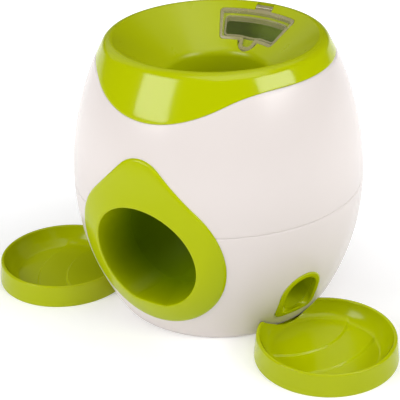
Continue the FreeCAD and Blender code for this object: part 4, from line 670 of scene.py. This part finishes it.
def top_bowl():
    """The green cap, rim, bowl and throat in one moulding, with the hatch's opening and ledge."""
    roll, lean = rim_roll()
    roll_z = BODY_TOP - roll
    edge = CAP_EDGE + SEAM / 2
    leave_z = EQUATOR + UPPER_CURVE * math.sin(lean)
    bend_r = THROAT + THROAT_ROUND * (1 - math.sin(CONE))
    bend_z = cone(bend_r) - THROAT_ROUND * math.cos(CONE)
    bend = (THROAT + THROAT_ROUND, bend_z)
    up = math.pi / 2
    outline = [(barrel(edge) - EDGE_ROUND, edge), (barrel(edge) - CAP_BEND, edge + CAP_BEND)]
    outline += barrel_run(edge + EDGE_ROUND, leave_z, 16)
    outline += arc((CREST, roll_z), roll, lean, up, 14)[1:]
    outline += arc((CREST, BODY_TOP - LIP), LIP, up, up + CONE, 6)[1:]
    slope = [CONE_TOP_R + (bend_r - CONE_TOP_R) * k / 16 for k in range(1, 16)]
    outline += [(r, cone(r)) for r in slope]
    outline += arc(bend, THROAT_ROUND, up + CONE, math.pi, 8)
    outline += [(THROAT, bend_z - (bend_z - THROAT_FOOT) * k / 6) for k in range(1, 7)]
    outline += [(THROAT + WALL, THROAT_FOOT), (THROAT + WALL, bend_z)]
    outline += [(bend_r + WALL * math.sin(CONE), cone(bend_r + WALL * math.sin(CONE), WALL)),
                (CREST, BODY_TOP - WALL)]
    outline += arc((CREST, roll_z), roll - WALL, up, lean, 6)[1:]
    outline += barrel_run(leave_z - WALL, edge, 16, -WALL)
    bm = spun(outline)
    follow_wave(bm, edge, leave_z)
    opening = hatch_outline(HATCH_IN, HATCH_OUT, HATCH_ANGLE, HATCH_CORNER, notch_outline())
    low = cone(NOTCH_MIDDLE - NOTCH_RADIUS, WALL + 0.5)
    bm = carve(bm, prism(opening, low, ABOVE))
    half = HINGE_HALF + HATCH_GAP
    far = HINGE_R + HINGE_EYE + HATCH_GAP

    def by_hatch(at):
        away = math.hypot(at.x, at.y)
        on_bowl = cone(away) - at.z < 1 and away < CONE_TOP_R - 1
        return at.y > HATCH_ZONE and abs(at.x) < HATCH_ZONE + 2 and on_bowl

    soften(bm, 0.45, by_hatch)
    hinge_low = cone(HINGE_R) - HINGE_DROP - HINGE_EYE * 1.4
    bm = carve(bm, block((-half, HATCH_OUT - 1.5, hinge_low), (half, far, ABOVE)))
    ledge = cone_slab(THROAT + WALL * 0.6, HATCH_OUT + HATCH_LEDGE / 2, WALL - 0.1, WALL + 1.5,
                      HATCH_ANGLE + math.radians(2.5))
    window = hatch_outline(HATCH_IN + HATCH_LEDGE, HATCH_OUT - HATCH_LEDGE, HATCH_ANGLE - math.radians(3.5),
                           HATCH_CORNER, [])
    ledge = carve(ledge, prism(window, THROAT_FOOT, ABOVE))
    bm = carve(bm, ledge, "UNION")
    return finished(bm, "top_bowl_skin", "housing", "top_bowl", GREEN_BOWL)


def lid_outline(inset=0.0):
    """Outline of the lid with its finger tab, drawn in by an inset."""
    inner = HATCH_IN + HATCH_GAP + inset
    half, end, reach = TAB_HALF - inset, TAB_END - inset, TAB_REACH + inset
    base = math.sqrt(inner ** 2 - half ** 2)
    shoulder = reach + 1.8
    tab = [(-half, base), (-half + 1.1, shoulder), (-end - 0.8, reach + 0.5), (-end, reach),
           (end, reach), (end + 0.8, reach + 0.5), (half - 1.1, shoulder), (half, base)]
    lean = HATCH_ANGLE - math.radians(0.3) - 2 * inset / (HATCH_IN + HATCH_OUT)
    return hatch_outline(inner, HATCH_OUT - HATCH_GAP - inset, lean, HATCH_CORNER - inset, tab)


def lid_layer(outline, top, low):
    """A layer of the lid: the part of a plan outline between two depths under the bowl's surface."""
    slab = cone_slab(TAB_REACH - 1, HATCH_OUT + 1, top, low, HATCH_ANGLE + math.radians(6))
    return carve(slab, prism(outline, THROAT_FOOT, ABOVE), "INTERSECT")


def lid_border():
    """The thick edge of the lid, with the skirt below it and the hinge eye behind it."""
    bm = lid_layer(lid_outline(), 0, LID_WALL)
    soften(bm, 0.4, lambda at: True)
    bm = carve(bm, prism(lid_outline(LID_BORDER), THROAT_FOOT, ABOVE))
    rim_in, rim_out = HATCH_IN + HATCH_LEDGE + HATCH_GAP, HATCH_OUT - HATCH_LEDGE - HATCH_GAP
    rim_angle = HATCH_ANGLE - RIM_LEAN
    skirt = hatch_outline(rim_in, rim_out, rim_angle, HATCH_CORNER, [])
    hollow = hatch_outline(rim_in + RIM_WALL, rim_out - RIM_WALL, rim_angle - RIM_STEP,
                           HATCH_CORNER - RIM_WALL, [])
    rim = lid_layer(skirt, LID_WALL - 0.4, LID_WALL + 3)
    rim = carve(rim, prism(hollow, THROAT_FOOT, ABOVE))
    bm = carve(bm, rim, "UNION")
    eye_z = cone(HINGE_R) - HINGE_DROP
    eye = bmesh.new()
    bmesh.ops.create_cone(eye, cap_ends=True, segments=32, radius1=HINGE_EYE, radius2=HINGE_EYE,
                          depth=2 * HINGE_HALF)
    bmesh.ops.rotate(eye, verts=eye.verts, cent=(0, 0, 0), matrix=Matrix.Rotation(math.pi / 2, 3, "Y"))
    bmesh.ops.translate(eye, verts=eye.verts, vec=(0, HINGE_R, eye_z))
    strap = block((-HINGE_HALF, HATCH_OUT - 2, -STRAP_HALF), (HINGE_HALF, HINGE_R, STRAP_HALF))
    for vert in strap.verts:
        on_lid = vert.co.y < HINGE_R - 1
        vert.co.z += cone(HATCH_OUT - 2, LID_WALL / 2) if on_lid else eye_z + 0.3
    bm = carve(bm, strap, "UNION")
    bm = carve(bm, eye, "UNION")
    return finished(bm, "hatch_lid_border", "hatch", "hatch_lid", CLEAR_EDGE)


def lid_pane():
    """The clear middle of the lid, with the small round mark that the mould leaves on it."""
    bm = lid_layer(lid_outline(LID_BORDER), PANE_SUNK, LID_WALL - PANE_SUNK)
    inner, outer = MARK["radius"] - MARK["width"] / 2, MARK["radius"] + MARK["width"] / 2
    ring = spun([(inner, -0.3), (outer, -0.3), (outer, MARK["height"]), (inner, MARK["height"])],
                segments=48)
    bmesh.ops.rotate(ring, verts=ring.verts, cent=(0, 0, 0), matrix=Matrix.Rotation(CONE, 3, "X"))
    away = math.hypot(MARK["x"], MARK["y"])
    bmesh.ops.translate(ring, verts=ring.verts, vec=(0, away, cone(away, PANE_SUNK)))
    turned(ring, -math.atan2(MARK["x"], MARK["y"]))
    bm = carve(bm, ring, "UNION")
    return finished(bm, "hatch_lid_pane", "hatch", "hatch_lid", CLEAR)


# ---------------------------------------------------------------- outlets

def direction(vert, middle):
    """The turn of a point about the middle of an outline, in the front view."""
    return math.atan2(vert.co.z - middle, vert.co.x)


def grown(middle, places, points):
    """A closed skin grown loop by loop. Each place gives a point for a turn in the front view."""
    bm = bmesh.new()
    bmesh.ops.create_circle(bm, segments=points, radius=10)
    bmesh.ops.rotate(bm, verts=bm.verts, cent=(0, 0, 0), matrix=Matrix.Rotation(math.pi / 2, 3, "X"))
    bmesh.ops.translate(bm, verts=bm.verts, vec=(0, 0, middle))
    turns = {vert: direction(vert, middle) for vert in bm.verts}
    loop = list(bm.edges)
    first = loop
    for vert in bm.verts:
        vert.co = places[0](turns[vert])
    for place in places[1:]:
        made = bmesh.ops.extrude_edge_only(bm, edges=loop)["geom"]
        loop = [item for item in made if isinstance(item, bmesh.types.BMEdge)]
        fresh = [item for item in made if isinstance(item, bmesh.types.BMVert)]
        source = {vert: edge.other_vert(vert) for vert in fresh for edge in vert.link_edges
                  if edge.other_vert(vert) in turns}
        turns.update({vert: turns[source[vert]] for vert in fresh})
        for vert in fresh:
            vert.co = place(turns[vert])
    bmesh.ops.bridge_loops(bm, edges=first + loop)
    bmesh.ops.recalc_face_normals(bm, faces=bm.faces)
    return bm


def mouth(turn, grow=0.0):
    """Distance from the surround's middle to the ball outlet's edge, which is flat at the bottom."""
    shift = MOUTH_Z - SURROUND_Z
    radius = MOUTH + grow
    reach = shift * math.sin(turn) + math.sqrt(radius ** 2 - (shift * math.cos(turn)) ** 2)
    flat = MOUTH_Z - math.sqrt(MOUTH ** 2 - RUNNER_HALF ** 2) - max(grow, 0) * 0.8 - SURROUND_Z
    if reach * math.sin(turn) < flat:
        reach = flat / math.sin(turn)
    return reach


def ball_outlet_surround():
    """The green surround on the barrel's front, which runs inwards as the ball outlet's sleeve."""
    def on_barrel(reach, offset):
        return lambda turn: front_map(reach(turn) * math.cos(turn),
                                      SURROUND_Z + reach(turn) * math.sin(turn), offset)

    def upright(reach, y):
        return lambda turn: Vector((reach(turn) * math.cos(turn), y,
                                    SURROUND_Z + reach(turn) * math.sin(turn)))

    def between(share):
        return lambda turn: teardrop(turn, 2.2) * (1 - share) + mouth(turn, 2.0) * share

    def into_sleeve(share):
        """From the lip straight back to the sleeve's inner end."""
        def place(turn):
            reach = mouth(turn)
            start = front_map(reach * math.cos(turn), SURROUND_Z + reach * math.sin(turn), 0)
            inner = mouth(turn, -SLEEVE_TAPER * share)
            return Vector((inner * math.cos(turn), start.y + (SLEEVE_Y - start.y) * share,
                           SURROUND_Z + inner * math.sin(turn)))
        return place

    proud = SURROUND_PROUD
    places = [on_barrel(lambda turn, d=inset: teardrop(turn, d), offset)
              for inset, offset in ((SURROUND_FLANGE, -WALL), (SURROUND_FLANGE, 0), (0, 0.02), (0, 0.45),
                                    (0.15, 0.9), (0.5, 1.35), (1.1, 1.65), (2.2, proud))]
    places += [on_barrel(between(k / 8), proud) for k in range(1, 9)]
    places += [on_barrel(lambda turn, g=grow: mouth(turn, g), offset)
               for grow, offset in ((1.2, 1.68), (0.55, 1.35), (0.15, 0.8), (0, 0))]
    places += [into_sleeve(k / 8) for k in range(1, 9)]
    places += [upright(lambda turn: mouth(turn, SLEEVE_WALL), SLEEVE_Y),
               on_barrel(lambda turn: mouth(turn, SLEEVE_WALL), -WALL)]
    bm = grown(SURROUND_Z, places, 224)
    return finished(bm, "ball_outlet_surround_skin", "housing", "ball_outlet_surround",
                    GREEN_SLEEVE)


def treat_way(turn, share):
    """A point of the treats' way out, in a turn about its middle line, from the exit to the knee."""
    def mix(key):
        return EXIT[key] + (KNEE[key] - EXIT[key]) * share
    reach = stadium(turn, mix("half_width"), mix("half_height"))
    return Vector((reach * math.cos(turn), -mix("reach"), mix("height") + reach * math.sin(turn)))


def treat_edge(turn, offset):
    """Where the way out passes a surface that lies offset outside the barrel."""
    near, far = 0.0, 1.0
    for _ in range(30):
        share = (near + far) / 2
        point = treat_way(turn, share)
        if math.hypot(point.x, point.y) > barrel(point.z, offset):
            near = share
        else:
            far = share
    return treat_way(turn, far)


def outlet_collar(side, name):
    """The green frame of a side outlet, which runs into the duct behind it."""
    def outer(inset, offset):
        def place(turn):
            reach = arch(turn, inset=inset, **COLLAR)
            return front_map(reach * math.cos(turn), OUTLET_Z + reach * math.sin(turn), offset)
        return place

    def lip(grow, offset):
        def place(turn):
            reach = arch(turn, inset=-grow, **OUTLET_LIP)
            return front_map(reach * math.cos(turn), OUTLET_Z + reach * math.sin(turn), offset)
        return place

    def throat(share, offset):
        """Between the lip's arch and the rounder duct behind it."""
        def place(turn):
            return lip(0, offset)(turn).lerp(treat_edge(turn, offset), share)
        return place

    places = [outer(COLLAR_SEAT, -COLLAR_PLUG), outer(COLLAR_SEAT, 0), outer(0, 0.02), outer(0, 0.3),
              outer(0.2, 0.75), outer(0.6, 1.05), outer(1.3, COLLAR_PROUD), outer(2.4, COLLAR_PROUD)]
    places += [lip(1.6, COLLAR_PROUD), lip(0.9, 1.1), lip(0.35, 0.75), lip(0.05, 0.2)]
    places += [throat(0.2, -0.6), throat(0.5, -1.4), throat(0.8, -2.2), throat(1.0, -COLLAR_PLUG)]
    bm = turned(grown(OUTLET_Z, places, 160), side * OUTLET_TURN)
    return finished(bm, f"{name}_skin", "housing", name, GREEN)


# ---------------------------------------------------------------- trays

def smooth_step(value, start, end):
    """A share that rises from 0 at the start to 1 at the end, level at both."""
    share = min(max((value - start) / (end - start), 0.0), 1.0)
    return share * share * (3 - 2 * share)


def ripple_drop(x, y):
    """How far the tray's floor has stepped down at a point, with the steps run out up the cove."""
    away = math.hypot(x + RIPPLE_CENTRE, y)
    steps = sum(smooth_step(away, curve - RIPPLE_SLOPE, curve + RIPPLE_SLOPE) for curve in RIPPLE_CURVES)
    fade = 1 - smooth_step(math.hypot(x, y), TRAY_FLOOR_RADIUS, TRAY_FLOOR_RADIUS + TRAY_COVE * 0.8)
    return steps * fade * RIPPLE_STEP


def tray(side, name, body):
    """A round tray with a rolled lip, a scoop cut out for the barrel and a tongue that goes under it."""
    lip = TRAY_LIP
    skin = lip * 1.06
    reach = TRAY_FLOOR_RADIUS
    outline = [(0.0, TRAY_UNDER), (reach + 4, TRAY_UNDER), (TRAY_CREST - lip * 0.5, TRAY_LIP_Z - 3),
               (TRAY_CREST + lip * 0.1, TRAY_LIP_Z - 3), (TRAY_BASE - skin, 0), (TRAY_BASE - 0.4, 0),
               (TRAY_BASE - 0.1, 0.15), (TRAY_BASE, 0.5), (TRAY_BASE, SHELL_FOOT)]
    wall_low = (TRAY_BASE, SHELL_FOOT)
    wall_high = (TRAY_CREST + lip, TRAY_LIP_Z)
    outline += [tuple(a + (b - a) * k / 6 for a, b in zip(wall_low, wall_high)) for k in range(1, 6)]
    outline += arc((TRAY_CREST, TRAY_LIP_Z), lip, 0, math.pi, 12)
    centre = (reach, TRAY_FLOOR + TRAY_COVE)
    inner = (TRAY_CREST - lip, TRAY_LIP_Z)
    gap = math.hypot(inner[0] - centre[0], inner[1] - centre[1])
    turn_up = math.atan2(inner[1] - centre[1], inner[0] - centre[0]) - math.acos(TRAY_COVE / gap)
    outline += arc(centre, TRAY_COVE, turn_up, -math.pi / 2, 12)
    outline += [(reach * (1 - k / TRAY_RINGS), TRAY_FLOOR) for k in range(1, TRAY_RINGS + 1)]
    bm = spun(outline, closed=False, segments=TRAY_SEGMENTS)
    for vert in bm.verts:
        x, y, z = vert.co
        if math.hypot(x, y) < inner[0] and TRAY_UNDER + 1 < z < TRAY_FLOOR + TRAY_COVE:
            vert.co.z -= ripple_drop(x, y)
    hollow = [(0.0, -2.0), (barrel(-2.0, TRAY_GAP), -2.0)]
    hollow += barrel_run(0.0, TRAY_FLOOR + 0.05, 4, TRAY_GAP)
    hollow += [(TRAY_MOUTH, TRAY_FLOOR + 0.05), (TRAY_MOUTH, TRAY_FLOOR + 3)]
    hollow += barrel_run(TRAY_LIP_Z - 6, TRAY_LIP_Z + lip + 3, 4, TRAY_GAP)
    hollow += [(0.0, TRAY_LIP_Z + lip + 3)]
    tool = spun(hollow, closed=False)
    bmesh.ops.translate(tool, verts=tool.verts, vec=(-TRAY_REACH, 0, 0))
    bm = carve(bm, tool)
    tongue = block((-TONGUE_REACH, -TONGUE_HALF, TONGUE_LOW),
                   (-reach, TONGUE_HALF, TONGUE_LOW + TONGUE_WALL))
    bm = carve(bm, tongue, "UNION")
    soften(bm, 0.5, lambda at: at.x < -30 and at.z > TRAY_FLOOR - 1.5, least_angle=0.9)
    turned(bm, -math.pi / 2 + side * OUTLET_TURN, (TRAY_REACH, 0, 0))
    return finished(bm, f"{name}_skin", body, name, GREEN_TRAY)


# ---------------------------------------------------------------- pieces and finishes

def dress_frame():
    """Gives every solid its slot's finish, the matte green darkened as painted shade; the treat chutes get
    plain lime and the hinge pin steel darkened partly as painted shade.
    """
    finishes = {"white_gloss": WHITE, "green_gloss": GREEN, "green_matte": GREEN_PAINTED_SHADE,
                "white_matte": WHITE_FINE, "clear_plastic": CLEAR, "steel": STEEL, "grey_rubber": RUBBER}
    slots = {entry["node"]: entry["material_slot"] for entry in frame["record"]["subparts"]}
    for node, item in frame["nodes"].items():
        item.data.materials.clear()
        item.data.materials.append(finishes[slots[node]])
    special = {"treat_chute_left": GREEN_OPEN, "treat_chute_right": GREEN_OPEN,
               "hatch_hinge_pin": PIN_STEEL_SHADED}
    for node, finish in special.items():
        frame["nodes"][node].data.materials[0] = finish


# ---------------------------------------------------------------- camera, floor and light

CAMERA_AT = Vector((0.5174, -0.8345, 0.5944))
CAMERA_LOOK = Vector((-0.4676, 0.7541, -0.4612))
CAMERA_ROLL = math.radians(-1.29)
CAMERA_LENS = 112.92
CAMERA_SENSOR = 36
CAMERA_SHIFT = (-0.0485, 0.0024)


def camera():
    """A long lens that looks down on the front, from the right."""
    data = bpy.data.cameras.new("camera")
    data.lens = CAMERA_LENS
    data.sensor_width = CAMERA_SENSOR
    data.shift_x, data.shift_y = CAMERA_SHIFT
    item = bpy.data.objects.new("camera", data)
    bpy.context.scene.collection.objects.link(item)
    bpy.context.scene.camera = item
    look = CAMERA_LOOK.normalized()
    level = look.cross(Vector((0, 0, 1))).normalized()
    raised = level.cross(look)
    right = level * math.cos(CAMERA_ROLL) + raised * math.sin(CAMERA_ROLL)
    up = right.cross(look)
    turn = Matrix((right, up, -look)).transposed()
    item.matrix_world = Matrix.Translation(CAMERA_AT) @ turn.to_4x4()


FLOOR_HALF = 40
# the floor lights itself up from a middle a little in front of the barrel
FLOOR_GLOW = {"centre": (0.05, -0.25, 0), "near": 0.32, "far": 0.66, "least": 0.24, "most": 0.84}


def floor():
    """The pale ground, which glows more the further out it is."""
    bm = bmesh.new()
    bmesh.ops.create_grid(bm, x_segments=1, y_segments=1, size=FLOOR_HALF)
    mesh = bpy.data.meshes.new("floor")
    bm.to_mesh(mesh)
    bm.free()
    finish = Finish("pale floor", Emission_Strength=1.0, Roughness=0.9)
    cloud = finish.noise(3, 2)
    finish.feed("Base_Color", finish.blend(cloud, (0.85, 0.85, 0.85, 1), (0.87, 0.87, 0.87, 1)))
    away = finish.node("ShaderNodeVectorMath", {"operation": "DISTANCE"}, output=1, in0=finish.place,
                       in1=FLOOR_GLOW["centre"])
    fade = finish.node("ShaderNodeMapRange", Value=away, From_Min=FLOOR_GLOW["near"],
                       From_Max=FLOOR_GLOW["far"])
    low, high = FLOOR_GLOW["least"], FLOOR_GLOW["most"]
    finish.feed("Emission_Color", finish.blend(fade, (low, low, low, 1), (high, high, high, 1)))
    mesh.materials.append(finish.material)
    item = bpy.data.objects.new("floor", mesh)
    bpy.context.scene.collection.objects.link(item)


LAMPS = {
    "left_box": {"azimuth": -25.5, "elevation": 22, "distance": 1.4, "size": (0.76, 0.66), "power": 11.7},
    "right_box": {"azimuth": 90, "elevation": 25, "distance": 1.4, "size": (0.85, 0.42), "power": 9.2},
    "high_box": {"azimuth": 60, "elevation": 68, "distance": 2.4, "size": (2.2, 2.2), "power": 30},
    "side_box": {"azimuth": -110, "elevation": 36, "distance": 2.4, "size": (2.0, 2.0), "power": 5},
    "back_box": {"azimuth": 180, "elevation": 62, "distance": 2.4, "size": (1.6, 1.6), "power": 4.6},
}


def soft_box(name, azimuth, elevation, distance, size, power):
    """A rectangular lamp that faces the barrel's top. Azimuth 0 is the front and 90 the +X side."""
    data = bpy.data.lights.new(name, "AREA")
    data.shape = "RECTANGLE"
    data.size, data.size_y = size
    data.energy = power
    item = bpy.data.objects.new(name, data)
    bpy.context.scene.collection.objects.link(item)
    a, e = math.radians(azimuth), math.radians(elevation)
    back = Vector((math.sin(a) * math.cos(e), -math.cos(a) * math.cos(e), math.sin(e)))
    item.location = Vector((0, 0, BODY_TOP * MM)) + back * distance
    item.rotation_mode = "QUATERNION"
    item.rotation_quaternion = back.to_track_quat("Z", "Y")


def studio():
    """A faint sky and the lamps, with the plain view transform."""
    world = bpy.data.worlds.new("studio")
    bpy.context.scene.world = world
    world.use_nodes = True
    sky = world.node_tree.nodes["Background"]
    sky.inputs["Color"].default_value = (1, 0.995, 0.985, 1)
    sky.inputs["Strength"].default_value = 0.03
    for name, lamp in LAMPS.items():
        soft_box(name, **lamp)
    bpy.context.scene.view_settings.view_transform = "Standard"


camera()
floor()
studio()
lower_shell()
upper_shell()
top_bowl()
lid_border()
lid_pane()
ball_outlet_surround()
outlet_collar(LEFT, "outlet_collar_left")
outlet_collar(RIGHT, "outlet_collar_right")
tray(LEFT, "tray_left", "left_tray")
tray(RIGHT, "tray_right", "right_tray")
dress_frame()
